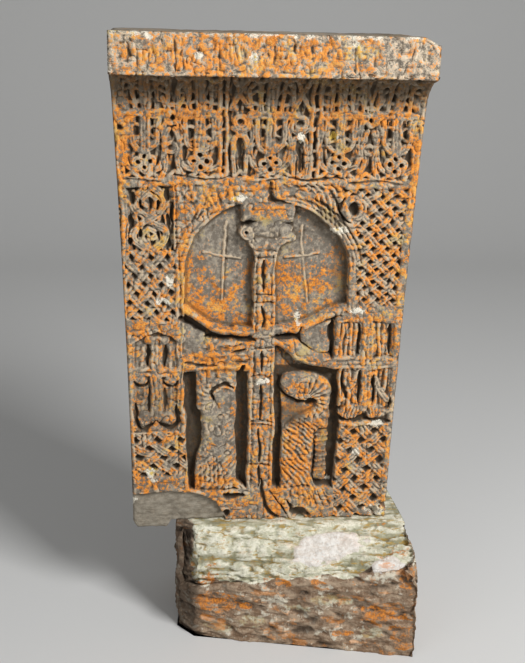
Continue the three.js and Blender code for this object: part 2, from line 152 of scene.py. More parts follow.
class Relief:
    def __init__(self, x, z):
        # the carver's hand wanders a little
        self.x = x + 4.2 * noise(x, z, 46, 1) + 1.9 * noise(x, z, 17, 3)
        self.z = z + 4.2 * noise(x, z, 43, 2) + 1.9 * noise(x, z, 16, 4)
        self.sway = noise(x, z, 15, 5) + 0.6 * noise(x, z, 38, 6)
        self.depth = np.zeros_like(x)
        self.rowSpan = self.z.min(axis=1), self.z.max(axis=1)
        self.colSpan = self.x.min(axis=0), self.x.max(axis=0)

    def window(self, points, margin):
        xs, zs = [p[0] for p in points], [p[1] for p in points]
        rows = (self.rowSpan[1] > min(zs) - margin) & (self.rowSpan[0] < max(zs) + margin)
        cols = (self.colSpan[1] > min(xs) - margin) & (self.colSpan[0] < max(xs) + margin)
        r, c = np.flatnonzero(rows), np.flatnonzero(cols)
        return slice(r[0], r[-1] + 1), slice(c[0], c[-1] + 1)

    def distance(self, where, path):
        x, z = self.x[where], self.z[where]
        best = np.full(x.shape, 1e6)
        for (x0, z0), (x1, z1) in zip(path, path[1:]):
            dx, dz = x1 - x0, z1 - z0
            t = np.clip(((x - x0) * dx + (z - z0) * dz) / (dx * dx + dz * dz + 1e-9), 0, 1)
            best = np.minimum(best, (x - x0 - t * dx) ** 2 + (z - z0 - t * dz) ** 2)
        return np.sqrt(best)

    def inside(self, where, points):
        # distance to an outline, negative inside it
        x, z = self.x[where], self.z[where]
        loop = [*points, points[0]]
        odd = np.zeros(x.shape, dtype=bool)
        for (x0, z0), (x1, z1) in zip(loop, loop[1:]):
            if z0 == z1:
                continue
            crosses = (z0 > z) != (z1 > z)
            odd ^= crosses & (x < x0 + (z - z0) * (x1 - x0) / (z1 - z0))
        away = self.distance(where, loop)
        return np.where(odd, -away, away)

    def raiseTo(self, where, level, cover):
        now = self.depth[where]
        self.depth[where] = np.where(level < now, now + (level - now) * cover, now)

    def strap(self, path, half, level=1.0, strands=2, groove=5.0):
        where = self.window(path, half + 8)
        away = self.distance(where, path)
        t = np.clip(away / half, 0, 1) * strands / 2
        if strands % 2:
            t = t + 0.5
        roll = np.sqrt(np.clip(1 - (2 * (t % 1) - 1) ** 2, 0, 1))
        cover = np.clip((half + 1.2 - away) / 2.4, 0, 1)
        self.raiseTo(where, level + groove * (1 - roll), cover)

    def ring(self, x, z, radius, half, level=1.0, strands=2, groove=5.0):
        self.strap(arcPath(x, z, radius, radius, 0, 360, 20), half, level, strands, groove)

    def fill(self, points, level=0.0, crown=3.0, soft=9.0):
        # a raised field with rounded edges
        where = self.window(points, 10)
        away = self.inside(where, points)
        cover = np.clip((1.2 - away) / 2.4, 0, 1)
        self.raiseTo(where, level + crown * smooth(away, -soft, 0), cover)

    def sink(self, points, depth, soft=3.0):
        where = self.window(points, soft + 4)
        cover = smooth(-self.inside(where, points), -soft / 2, soft / 2)
        now = self.depth[where]
        self.depth[where] = now + np.maximum(depth - now, 0) * cover

    def cut(self, path, half, depth, floor=40.0):
        # a groove, no deeper than the floor
        where = self.window(path, half * 1.6 + 4)
        away = self.distance(where, path)
        ends = np.hypot(path[-1][0] - path[0][0], path[-1][1] - path[0][1])
        x, z = self.x[where], self.z[where]
        near = np.minimum(np.hypot(x - path[0][0], z - path[0][1]),
                          np.hypot(x - path[-1][0], z - path[-1][1]))
        taper = 0.45 + 0.55 * smooth(near, 0, min(3.5 * half, 0.4 * ends + 1))
        wide = half * taper * np.clip(1 + 0.42 * self.sway[where], 0.4, 1.5)
        now = self.depth[where]
        deeper = now + depth * np.clip(1 - (away / wide) ** 2, 0, 1) ** 0.6
        self.depth[where] = np.maximum(now, np.minimum(deeper, floor))

    def pit(self, x, z, halfX, halfZ, depth):
        where = self.window([(x - halfX, z - halfZ), (x + halfX, z + halfZ)], 4)
        away = np.hypot((self.x[where] - x) / halfX, (self.z[where] - z) / halfZ) + 0.25 * self.sway[where]
        now = self.depth[where]
        self.depth[where] = np.maximum(now, now + (depth - now) * smooth(1.15 - away, 0, 0.4))

    def lattice(self, points, x, z, halfX, halfZ, half, depth, shear=0.0, strands=2, lift=6.0):
        # straps that cross over and under, round voids that are halfX and halfZ apart
        where = self.window(points, 4)
        rise = self.z[where] - z
        a, b = (self.x[where] - x - shear * rise) / halfX, rise / halfZ
        p, q = (a + b) / 2, (a - b) / 2
        pitch = 2 * halfX * halfZ / math.hypot(halfX, halfZ)
        level = np.full(p.shape, float(depth))
        for along, across, turn in ((q, p, 1), (p, q, -1)):
            line = np.floor(across) + 0.5
            away = np.abs(across - line) * pitch
            t = np.clip(away / half, 0, 1) * strands / 2 + (0.5 if strands % 2 else 0)
            roll = np.sqrt(np.clip(1 - (2 * (t % 1) - 1) ** 2, 0, 1))
            over = turn * np.cos(math.pi * (along + line))
            crest = 1.0 + lift * (1 - over) / 2 + 5.0 * (1 - roll)
            cover = np.clip((half + 1.2 - away) / 2.4, 0, 1)
            level = np.where(crest < level, level + (crest - level) * cover, level)
        cover = smooth(-self.inside(where, points), -1.5, 1.5)
        now = self.depth[where]
        self.depth[where] = now + np.maximum(level - now, 0) * cover


# upper tier: five small crosses in a row, linked by knots

tier = {
    "bottom": 1072, "top": 1404, "margin": 12, "depth": 16,
    "crossX": (-346, -196, 2, 196, 358), "knotX": (-271, 279), "dividerX": (-132, 125),
    "armZ": 1245, "armReach": 60, "armHalf": 13, "stemHalf": 15,
    "footZ": 1113, "footStep": 17, "loopHalf": 37, "loopZ": 1178, "loopBottom": 1144,
    "strapHalf": 7.5, "threads": 62, "threadStep": 14,
}


def threads(r, left, step, count, bottom, top, level=7.0, sway=6.0):
    # thin wavy strands that fill the ground behind the straps
    for k in range(count):
        x = left + k * step
        path = [(x + sway * math.sin(z / 19 + k * 2.1), z) for z in np.arange(bottom, top, 14)]
        r.strap(path, step * 0.36, level + 2.5 * (k % 2), strands=1, groove=4.0)


def tierCross(r, x):
    t = tier
    half = t["strapHalf"]
    for side in (-1, 1):
        lyre = softPath([(x + side * 20, t["footZ"] - 24), (x + side * 48, t["footZ"] - 6),
                         (x + side * 57, t["loopZ"] - 18), (x + side * 53, t["loopZ"] + 22),
                         (x + side * 64, t["armZ"] + 2)])
        r.strap(lyre, half, 3.0)
        hood = [(x + side * 29, t["armZ"] + 4), *arcPath(x + side * 44, 1316, -side * 15, 22, 0, 180),
                (x + side * 59, t["armZ"] + 4)]
        r.strap(hood, half - 1, 3.0)
        r.strap(softPath([(x + side * 16, 1362), (x + side * 36, 1346), (x + side * 64, 1366)]),
                half - 1, 2.0)
    loop = [(x - t["loopHalf"] - 4, t["armZ"]),
            *arcPath(x, t["loopZ"], t["loopHalf"], t["loopZ"] - t["loopBottom"], 180, 360),
            (x + t["loopHalf"] + 4, t["armZ"])]
    r.strap(loop, half, 1.5)
    for dx, dz in ((1, 0), (-1, 0), (0, 1), (0, -1)):
        r.ring(x + dx * t["footStep"], t["footZ"] + dz * t["footStep"], 12, 6.5, 1.0)
    r.strap([(x, t["loopBottom"] + 4), (x, t["top"])], t["stemHalf"], 0.5, strands=3)
    r.strap([(x - t["armReach"], t["armZ"]), (x + t["armReach"], t["armZ"])], t["armHalf"], 1.0)
    for side in (-1, 1):
        r.cut([(x + side * 21, t["loopZ"] - 8), (x + side * 22, t["armZ"] - 20)], 4.5, 12, 20)
        r.cut([(x + side * 20, t["armZ"] + 22), (x + side * 20, 1310)], 4, 10, 20)
        r.pit(x + side * t["footStep"], t["footZ"], 5.5, 5.5, 19)
        r.pit(x, t["footZ"] + side * t["footStep"], 5.5, 5.5, 19)
    # thin ties that cross behind the stem and break up the gaps
    for dz, reach, dip in ((-84, 54, 6), (-62, 50, -7), (-38, 56, 6), (34, 58, -6), (60, 54, 8)):
        level = t["armZ"] + dz
        r.strap(softPath([(x - reach, level), (x - 26, level + dip), (x + 4, level - dip),
                          (x + 30, level + dip),
                          (x + reach, level - 4)]), 5.5, 5.0, strands=1, groove=4.0)


def tierKnot(r, x):
    t = tier
    for lean in (-1, 1):
        r.strap(softPath([(x + lean * 8, t["armZ"] - 40), (x + lean * 20, 1160), (x + lean * 14, 1110),
                          (x + lean * 30, t["bottom"] - 4)]), 7, 2.0)
        r.strap(softPath([(x - lean * 34, t["armZ"] - 48), (x - lean * 8, t["armZ"] - 14),
                          (x + lean * 18, t["armZ"] + 14), (x + lean * 30, t["armZ"] + 40)]), 7,
                          1.5 + lean)
    r.ring(x, t["armZ"] - 2, 22, 7, 2.0)
    r.ring(x, 1150, 14, 6, 4.0)
    for dx, dz in ((-17, 10), (17, 10), (0, -10), (-17, -30), (17, -30)):
        r.pit(x + dx, t["armZ"] + dz, 6, 6, 20)


def carveTier(r):
    t = tier
    low, high = halfWidth(t["bottom"]) - t["margin"], halfWidth(t["top"]) - t["margin"]
    r.sink([(-low, t["bottom"]), (low, t["bottom"]), (high, t["top"]), (-high, t["top"])], t["depth"])
    threads(r, -428, t["threadStep"], t["threads"], t["bottom"] + 4, t["top"])
    for x in t["knotX"]:
        tierKnot(r, x)
    for side in (-1, 1):
        # tendrils beside the middle cross
        x = side * 84
        r.strap(softPath([(x - side * 20, 1362), (x + side * 4, 1300), (x + side * 24, 1262)]), 7, 3.0)
        r.strap(softPath([(x + side * 20, 1362), (x + side * 4, 1310), (x - side * 18, 1270)]), 7, 2.0)
        r.strap([(x + side * 18, t["bottom"] - 4), *arcPath(x, 1168, side * 18, 20, 0, 180),
                 (x - side * 18, t["bottom"] - 4)], 7, 2.0)
        r.strap(softPath([(x - side * 22, 1206), (x, 1196), (x + side * 24, 1206)]), 7, 3.0)
        r.ring(x, 1224, 17, 8, 2.5)
        r.pit(x - 2, 1226, 6, 7, 16)
        r.cut([(x, 1090), (x, 1160)], 4.5, 9, 18)
        # square ring and edge strap at the ends
        end = side * 412
        r.strap([(end, 1180), (end - side * 4, t["bottom"])], 9, 1.5)
        r.strap([(end + side * 4, 1232), (end + side * 8, t["top"])], 8, 3.0)
        r.strap([(end - 16, 1192), (end + 16, 1192), (end + 16, 1226), (end - 16, 1226),
                 (end - 16, 1192)], 9, 0.5)
        r.pit(end, 1209, 7, 8, 20)
    for x in t["crossX"]:
        tierCross(r, x)
    for x in t["dividerX"]:
        for side in (-1, 1):
            r.strap([(x + side * 10, t["bottom"] - 4), (x + side * 10, t["top"])], 6, 1.0, strands=1)
        r.cut([(x, t["bottom"] + 4), (x + 3, 1200), (x, 1330)], 4, 8, 18)
        # ties across the gap
        for z in (1098, 1146, 1206, 1262, 1304):
            r.strap([(x - 12, z - 3), (x + 12, z + 4)], 5, 4.0, strands=1, groove=4.0)
    # little peaks along the foot of the tier, over a dark line
    for k in range(14):
        x = -404 + k * 60
        r.strap([(x, t["bottom"] - 2), (x + 22, t["bottom"] + 13), (x + 44, t["bottom"] - 2)],
                6, 2.0, strands=1)
    for left, right, lift, half, depth in ((-408, -300, -8, 3.5, 6), (-262, -96, -4, 4, 9),
                                           (-70, 30, -9, 4, 7), (52, 210, -4, 4.5, 10),
                                           (226, 392, -9, 4.5, 9)):
        base = [(x, t["bottom"] + lift + 4 * math.sin(x / 23)) for x in range(left, right + 1, 12)]
        r.cut(base, half, depth, 16)
    r.cut([(x, 1040 + 6 * math.sin(x / 47)) for x in range(-400, 401, 20)], 4, 5, 10)


# niche, arch and large cross

niche = {
    "half": 241, "footHalf": 224, "bottom": 106, "knee": 488, "spring": 790, "top": 1004, "depth": 34,
    "crossZ": 598, "stemX": -6, "stemUpper": 33, "stemLower": 40,
}


def carveArch(r):
    n = niche
    arch = arcPath(0, n["spring"], n["half"], n["top"] - n["spring"], 0, 180, 26)
    r.sink([(n["footHalf"], n["bottom"]), (n["half"], n["knee"]), *arch,
            (-n["half"], n["knee"]), (-n["footHalf"], n["bottom"])], n["depth"])
    # lines that follow the arch, plainer on the left
    for grow, half, depth, first, last in ((11, 3.5, 4.0, 3, 84), (23, 4.0, 5.0, 3, 80),
                                           (37, 5.0, 9.0, 8, 62), (14, 3.5, 3.0, 112, 176),
                                           (36, 4.0, 4.0, 118, 176)):
        r.cut(arcPath(0, n["spring"], n["half"] + grow, n["top"] - n["spring"] + grow, first, last, 30),
              half, depth)
    # the point where the two halves of the arch meet
    r.cut(softPath([(5, 1056), (5, 1030), (18, 1008), (60, 1000)]), 9, 16)
    r.cut(softPath([(178, 1036), (196, 1002), (214, 966), (238, 948)]), 5, 13)
    # thin crosses on the ground of the niche
    for line in (((-122, 938), (-126, 820), (-131, 708)), ((-184, 856), (-132, 842), (-80, 831)),
                 ((98, 930), (105, 842), (124, 706)), ((52, 836), (105, 842), (150, 850))):
        r.strap(softPath(list(line)), 4.5, n["depth"] - 5.0, strands=1, groove=3.0)
        beside = [(x + 5, z - 4) for x, z in line]
        r.cut(softPath(beside), 3.5, 4.0)
    # leaf veins in the corners over the arch
    for k in range(8):
        r.cut(softPath([(-250 + k * 21, 1052 - k), (-240 + k * 20, 1018), (-206 + k * 16, 984 - k),
                        (-216 + k * 13, 950 + k * 4)]), 5.5, 6.5, 14)
        r.cut(softPath([(40 + k * 23, 1052), (70 + k * 21, 1036), (104 + k * 16, 1016 - k * 5),
                        (128 + k * 13, 984 - k * 9)]), 5.5, 6.5, 14)
    for z in (964, 978, 992):
        r.cut([(x, z + 5 * math.sin(x / 9 + z)) for x in range(-66, 68, 8)], 4.5, 5.0, 14)


def carveCross(r):
    n = niche
    x, z = n["stemX"], n["crossZ"]
    # ground beside the arms, then the arms, which part towards their ends
    r.fill([(-254, 676), (-186, 634), (-174, 602), (-186, 566), (-254, 536)], 17.0)
    r.fill([(104, 624), (256, 668), (256, 530), (150, 552), (108, 580)], 13.0)
    r.fill(softPath([(-30, 634), (-100, 630), (-150, 644), (-200, 674), (-254, 710)])
           + softPath([(-258, 684), (-190, 642), (-150, 616), (-100, 604), (-30, 602)]), 1.0, 6.0, 13.0)
    r.fill([(-30, 594), (-120, 594), (-172, 598), (-188, 570), (-254, 545), (-256, 488), (-30, 488)],
           2.0, 6.0, 16.0)
    r.fill(softPath([(26, 632), (110, 650), (180, 682), (258, 706)])
           + softPath([(258, 674), (196, 660), (132, 622), (100, 608), (26, 602)]), 1.0, 6.0, 13.0)
    r.fill(softPath([(26, 596), (90, 592), (114, 570), (160, 550), (240, 528)])
           + softPath([(240, 498), (200, 498), (140, 510), (94, 526), (64, 556), (26, 568)]),
           1.0, 6.0, 12.0)
    r.fill([(208, 520), (258, 520), (258, 688), (208, 662)], 4.0)
    # stem, with a cap that opens into two curls
    r.fill([(x - n["stemUpper"], z), (x + n["stemUpper"], z), (x + n["stemUpper"], 900),
            (x - n["stemUpper"], 900)], 0.5)
    r.fill([(x - n["stemLower"], 0), (x + n["stemLower"], 0), (x + n["stemLower"], z),
            (x - n["stemLower"], z)], 0.5)
    r.fill([(x - 44, 880), (x + 62, 886), (x + 66, 926), (x - 48, 926)], 15.0)
    r.fill(arcPath(8, 926, 62, 25, 0, 360, 20), 9.0, crown=4.0, soft=14.0)
    r.strap(softPath([(x - 20, 820), (x - 26, 862), (x - 44, 886)]), 12, 0.5)
    r.strap(softPath([(x + 20, 820), (x + 26, 866), (x + 48, 896)]), 12, 0.5)
    r.ring(-62, 911, 13, 9, 0.5)
    r.fill(arcPath(58, 904, 22, 13, 0, 360, 16), 1.0)
    r.fill([(-76, 944), (72, 946), (80, 1008), (-82, 1008)], 1.0, crown=6.0, soft=12.0)
    # groove down the middle, parted by bars
    for low, high in ((116, 182), (196, 306), (336, 444), (490, 560), (636, 694), (744, 832)):
        r.cut(softPath([(x - 4, low), (x - 2, (low + high) / 2), (x - 5, high)]), 5, 12)
    for edge in (-1, 1):
        r.cut([(x + edge * 23, 616), (x + edge * 22, 850)], 4, 5)
        r.cut([(x + edge * 28, 110), (x + edge * 27, 560)], 4, 5)
    for bar in (186, 318, 330, 474, 566, 704, 732, 840, 862):
        r.cut(softPath([(x - 34, bar), (x, bar + 3), (x + 34, bar - 2)]), 4, 6)
    # dark slits between the halves of the arms
    r.cut(softPath([(-250, 660), (-214, 640), (-182, 624)]), 13, 26)
    r.cut(softPath([(-178, 602), (-110, 598), (-30, 592)]), 6, 18)
    r.cut(softPath([(22, 594), (64, 596), (96, 600), (108, 632)]), 6, 18)
    r.cut([(-98, 554), (-58, 561)], 8, 22)
    r.cut(softPath([(-240, 522), (-190, 512), (-144, 508)]), 7, 14)
    r.cut(softPath([(201, 648), (199, 590), (204, 520)]), 9, 26)
    # the left arm is eroded into lumps
    for path in (((-236, 556), (-190, 546), (-150, 558), (-106, 578)),
                 ((-222, 534), (-160, 528), (-110, 540)),
                 ((-150, 582), (-120, 566), (-70, 580)),
                 ((-214, 504), (-160, 520), (-96, 512), (-48, 530))):
        r.cut(softPath(list(path)), 7, 6, 16)
    for px, pz, halfX, halfZ in ((-176, 562, 10, 7), (-128, 534, 12, 6), (-80, 522, 11, 7),
                                 (-204, 538, 9, 6)):
        r.pit(px, pz, halfX, halfZ, 11)
    r.cut(softPath([(44, 562), (68, 536), (90, 504), (150, 490), (214, 484)]), 12, 34)


leaf = {"ribStep": 15.0, "turnX": 128, "turnZ": 398, "neckRibs": 3.7}


def ribs(r, outline, side, depth):
    # ribs that run down the body and turn round the head
    where = r.window(outline, 6)
    x, z = side * r.x[where], r.z[where]
    body = smooth(-r.inside(where, outline), 0, 6)
    turn = np.arctan2(z - leaf["turnZ"], x - leaf["turnX"]) * leaf["neckRibs"]
    lean = (x * 0.80 + z * 0.58 + 0.0010 * (z - 120) ** 2) / leaf["ribStep"]
    neck = (z > 388) | ((x > 146) & (z > 310 + 0.4 * (200 - x)))
    wave = np.abs(np.cos(math.pi * np.where(neck, turn, lean)))
    tip = 1 - 0.8 * smooth(z, 396, 410) * smooth(-x, -138, -112)   # the tip of the head is smooth
    r.depth[where] += depth * wave ** 2.2 * body * tip


def carveLeaves(r):
    left = softPath([(-80, 100), (-78, 200), (-86, 300), (-80, 380), (-82, 462), (-92, 496), (-150, 498),
                     (-200, 496), (-206, 460), (-200, 380), (-190, 320), (-188, 264), (-202, 200),
                     (-204, 100)])
    r.fill(left, 4.0, crown=7.0, soft=22.0)
    ribs(r, left, -1, 4.0)
    r.sink(arcPath(-116, 400, 38, 36, 0, 360, 20), 13, soft=8)
    r.cut(softPath([(-152, 396), (-156, 424), (-142, 446), (-118, 450), (-92, 436)]), 7, 15)
    r.cut(softPath([(-156, 416), (-138, 372), (-100, 350), (-84, 344)]), 4, 5)
    for k in range(5):
        r.cut([(-186 + k * 12, 186), (-190 + k * 13, 128)], 4, 5)

    right = softPath([(58, 100), (58, 200), (58, 300), (56, 400), (54, 462), (84, 482), (150, 482),
                      (194, 462), (206, 420), (204, 350), (198, 304), (170, 296), (162, 250), (160, 160),
                      (168, 112), (202, 100)])
    r.fill(right, 1.0, crown=7.0, soft=16.0)
    ribs(r, right, 1, 5.5)
    r.fill([(164, 126), (202, 126), (200, 298), (166, 298)], 13.0)
    for k in range(9):
        r.strap([(168, 142 + k * 17), (199, 147 + k * 17)], 4.5, 9.0, strands=1)
    r.cut([(158, 120), (156, 200), (162, 296)], 5, 8)
    r.sink(softPath([(42, 452), (64, 420), (86, 402), (124, 394), (152, 402), (158, 384), (148, 362),
                     (108, 344), (72, 314), (48, 296), (38, 340), (40, 400),
                     (42, 452)], 3), 21, soft=8)
    r.cut(softPath([(46, 464), (62, 424), (86, 402), (124, 392), (150, 398)]), 8, 18)
    r.pit(142, 391, 17, 15, 36)
    # grooves between the leaves and their frame
    for path, half, depth in (([(-222, 484), (-212, 380), (-200, 300), (-214, 200), (-218, 150)], 13, 34),
                              ([(-67, 508), (-67, 300), (-66, 112)], 12, 36),
                              ([(46, 330), (46, 200), (48, 104)], 9, 36),
                              ([(214, 480), (214, 340), (212, 240), (212, 124)], 12, 34)):
        r.cut(softPath(path), half, depth, 38)
    # the leaves that turn out at the foot of the stem
    r.cut(softPath([(-2, 142), (4, 84), (18, 32), (66, -14)]), 7, 14)
    for k in range(6):
        r.cut([(24 + k * 9, 96 - k * 12), (52 + k * 8, 60 - k * 13)], 4, 5)
    r.cut(softPath([(-112, 84), (-88, 84), (-62, 82)]), 10, 24)
    r.strap(softPath([(-110, 118), (-80, 120), (-52, 98)]), 9, 0.5)
    r.pit(-112, 20, 11, 15, 22)
    r.cut(softPath([(84, 62), (94, 40), (104, 6)]), 8, 16)
    for k in range(8):
        r.cut(softPath([(70 + k * 18, 96), (78 + k * 18, 66), (74 + k * 20, 40)]), 4, 4)


# side bands

band = {"depth": 20}


def knotChain(r):
    r.sink([(-270, 862), (-402, 862), (-410, 1044), (-268, 1044)], band["depth"])
    threads(r, -398, 15, 9, 866, 1044, 6.0, 5.0)
    # two strands that cross between open loops, with a hook in each loop
    for lean in (-1, 1):
        wave = [(-337 + lean * 46 * math.sin((z - 860) * math.pi / 94), z) for z in range(858, 1050, 8)]
        r.strap(wave, 11, 1.5 + lean, strands=3)
    for z, side in ((1004, 1), (908, -1)):
        r.strap(softPath([(-337 + side * 10, z - 34), (-337 + side * 22, z - 6), (-337, z + 18),
                          (-337 - side * 20, z + 2), (-337 - side * 6, z - 12)]), 8, 1.5)
    r.strap([(-400, 862), (-408, 1044)], 8, 1.5)
    for x, z, halfX, halfZ in ((-386, 1014, 9, 16), (-286, 1018, 7, 14), (-391, 950, 8, 14),
                               (-284, 950, 7, 18), (-389, 890, 8, 12), (-283, 882, 7, 12),
                               (-362, 1000, 5, 12), (-312, 992, 5, 11), (-362, 916, 5, 12),
                               (-314, 906, 5, 12)):
        r.pit(x, z, halfX, halfZ, 22)


def smallCrossLeft(r):
    x = -321
    r.sink([(-392, 300), (-254, 300), (-252, 590), (-320, 634), (-394, 606)], 12)
    threads(r, -386, 13, 11, 360, 580, 8.0, 2.0)
    r.strap([(-398, 590), (-320, 634), (-246, 592)], 11, 0.5)
    r.strap([(-398, 616), (-320, 656), (-246, 616)], 9, 1.5)
    for side in (-1, 1):
        r.fill(arcPath(x + side * 20, 592, 16, 15, 0, 360, 16), 0.5)
        r.fill(arcPath(x + side * 44, 468, 20, 18, 0, 360, 16), 1.0)
        r.fill(softPath([(x + side * 2, 356), (x + side * 34, 368), (x + side * 58, 346),
                         (x + side * 44, 322), (x + side * 18, 330),
                         (x + side * 2, 356)]), 1.0)
        r.strap([(x + side * 68, 310), (x + side * 68, 590)], 7, 1.5)
    r.strap([(x, 345), (x, 590)], 17, 0.5, strands=3)
    r.strap([(x - 66, 494), (x + 66, 494)], 14, 0.5)
    for side in (-1, 1):
        r.cut(arcPath(x + side * 44, 468, 21, 20, 195, 345), 6, 16, 24)
        r.cut(softPath([(x + side * 2, 336), (x + side * 18, 318), (x + side * 46, 310),
                        (x + side * 62, 336),
                        (x + side * 60, 390)]), 6, 16, 24)
        r.cut([(x + side * 24, 512), (x + side * 26, 574)], 6, 14, 24)
        r.cut([(x + side * 22, 372), (x + side * 22, 440)], 5, 8, 24)


def smallCrossRight(r):
    x = 308
    r.sink([(224, 330), (384, 330), (388, 650), (224, 650)], 12)
    threads(r, 230, 14, 12, 376, 646, 4.0, 2.0)
    for side in (-1, 1):
        lobe = softPath([(x + side * 6, 374), (x + side * 44, 380), (x + side * 82, 354),
                         (x + side * 60, 338), (x + side * 14, 338),
                         (x + side * 6, 374)])
        r.fill(lobe, 0.5)
        for k in range(6):
            r.cut([(x + side * (12 + k * 11), 374 - k), (x + side * (20 + k * 10), 340)], 3.5, 5)
        r.strap(softPath([(x + side * 24, 484), (x + side * 44, 440), (x + side * 70, 396)]), 9, 1.5)
    r.strap([(x, 374), (x, 644)], 17, 0.5, strands=3)
    r.strap([(x - 88, 518), (x + 82, 518)], 21, 0.5, strands=3)
    r.strap([(218, 656), (392, 652)], 10, 0.5)
    r.strap([(218, 678), (396, 670)], 11, 1.0)
    for path, half in (([(283, 548), (283, 640)], 7), ([(373, 550), (375, 636)], 7),
                       ([(288, 386), (288, 488)], 7),
                       ([(335, 392), (333, 482)], 7), ([(238, 452), (250, 402)], 6),
                       ([(384, 372), (386, 402)], 6),
                       ([(214, 358), (236, 340), (262, 331), (306, 342), (320, 331), (392, 325)], 6)):
        r.cut(softPath(path), half, 18, 26)


def carveBands(r):
    knotChain(r)
    r.lattice([(-264, 652), (-402, 652), (-406, 862), (-264, 862)],
              -331, 788, 24, 27, 12, band["depth"], -0.12)
    smallCrossLeft(r)
    r.lattice([(-232, 154), (-388, 154), (-390, 296), (-232, 296)],
              -304, 214, 36, 30, 14.5, band["depth"], -0.2, 3)
    r.lattice([(266, 694), (384, 694), (400, 1042), (206, 1042), (232, 985), (258, 920), (264, 850)],
              312, 905, 21.5, 19.5, 9.2, band["depth"], 0.13, 2, 7.0)
    smallCrossRight(r)
    r.lattice([(226, 10), (378, 10), (382, 316), (226, 316)],
              300, 195, 34, 33, 15, band["depth"], 0.1, 3, 7.0)
    # plain edge straps and the double strip beside the niche
    r.cut([(-404, 160), (-418, 900), (-424, 1056)], 3, 4)
    for x in (-275, -262):
        r.cut([(x, 860), (x, 1046)], 4, 6)
    r.cut([(-256, 160), (-248, 480), (-254, 860)], 3.5, 5)
    r.ring(246, 986, 26, 11, 0.5)
    r.pit(246, 986, 12, 14, 24)
    r.cut(arcPath(246, 986, 40, 40, 130, 250), 6, 14)


# cornice, with plain strokes where words once ran

cornice = {"strokes": 58, "half": 36, "width": 3.6, "depth": 5.0, "margin": 26}


def carveCornice(r):
    middle = corniceStart + slab["corniceHeight"] / 2
    step = 2 * (slab["headHalf"] - cornice["margin"]) / cornice["strokes"]
    pick = np.random.default_rng(seed + 7)
    for k in range(cornice["strokes"]):
        x = -slab["headHalf"] + cornice["margin"] + (k + pick.uniform(0.2, 0.8)) * step
        depth = cornice["depth"] * pick.uniform(0.5, 1.1) * (0.55 if x > 235 else 1.0)
        low, high = pick.uniform(-0.2, 1.0, 2) * cornice["half"]
        lean = pick.uniform(-4, 4)
        r.cut([(x, middle - low - 5), (x + lean, middle + high + 5)], cornice["width"], depth)
        if k % 3 == 1:
            side = pick.choice((-1, 1))
            r.cut([(x + 6, middle + side * 40), (x + 10, middle + side * 30)], cornice["width"], depth)
    r.cut([(-432, corniceStart + 12), (432, corniceStart + 12)], 4, 2.5)


# damage and weather

wear = {
    # x, z, half width, half height and share of the carving that has worn away
    "worn": (
        (-120, 1046, 210, 22, 0.5), (-160, 545, 90, 40, 0.4), (-150, 300, 50, 90, 0.5),
        (120, 1030, 90, 22, 0.35), (8, 926, 60, 22, 0.7), (-160, 1010, 90, 40, 0.4),
        (160, 590, 60, 40, 0.5), (-330, 122, 80, 26, 0.6), (60, 1420, 80, 60, 0.2),
        (340, 1465, 90, 60, 0.5), (-210, 600, 40, 40, 0.6)),
    "chips": ((124, 14, 30), (300, -4, 18), (352, 16, 21), (222, -4, 15), (384, 40, 14)),   # x, z and size
    "chipDepth": 32,
    # upper edge of the broken foot
    "footX": (-430, -330, -250, -180, -140, -112, -100), "footZ": (92, 103, 106, 90, 62, 14, -30),
    "footDepth": 16,
    "wornBlur": 6, "allBlur": 2.4, "wrinkle": 4.2,
}


def weather(r, x, z, cell):
    for px, pz, halfX, halfZ, share in wear["worn"]:
        cover = share * smooth(1.25 - np.hypot((x - px) / halfX, (z - pz) / halfZ), 0, 0.6)
        r.depth += (blur(r.depth, wear["wornBlur"] / cell) - r.depth) * cover
    loss = smooth(noise(x, z, 65, 11), 0.1, 0.9)
    r.depth += (blur(r.depth, wear["allBlur"] / cell) - r.depth) * (0.08 + 0.5 * loss)
    r.depth += 1.8 * roughNoise(x, z, 26, 12) + 1.0 * roughNoise(x, z, 9, 14) + 2.0 * noise(x, z, 130, 16)
    r.depth += 3.0 * smooth(noise(x, z, 14, 17), 0.5, 0.9)
    # worn places are wrinkled, except on the smooth ground of the niche
    wrinkle = 1 - np.abs(noise(x + 9 * noise(x, z, 40, 18), z, 17, 19))
    r.depth += wear["wrinkle"] * smooth(wrinkle, 0.62, 1.0) * smooth(20 - r.depth, 0, 14)
    edge = np.interp(x, wear["footX"], wear["footZ"]) + 7 * noise(x, z, 34, 31)
    bare = smooth(edge - z, 0, 9)
    strata = roughNoise(x * 0.4 + z * 0.2, z - x * 0.12, 17, 24)
    broken = wear["footDepth"] + 7 * roughNoise(x, z, 85, 21) + 2.0 * strata
    broken = broken + 1.5 * roughNoise(x, z, 12, 26)
    r.depth += (broken - r.depth) * bare
    chip = 0.0 * x
    for px, pz, size in wear["chips"]:
        away = np.hypot(x - px, (z - pz) * 1.2) + 9 * noise(x, z, 16, 25)
        chip = np.maximum(chip, smooth(size - away, 0, 10))
    r.depth += np.maximum(wear["chipDepth"] - r.depth, 0) * chip
    return bare, chip
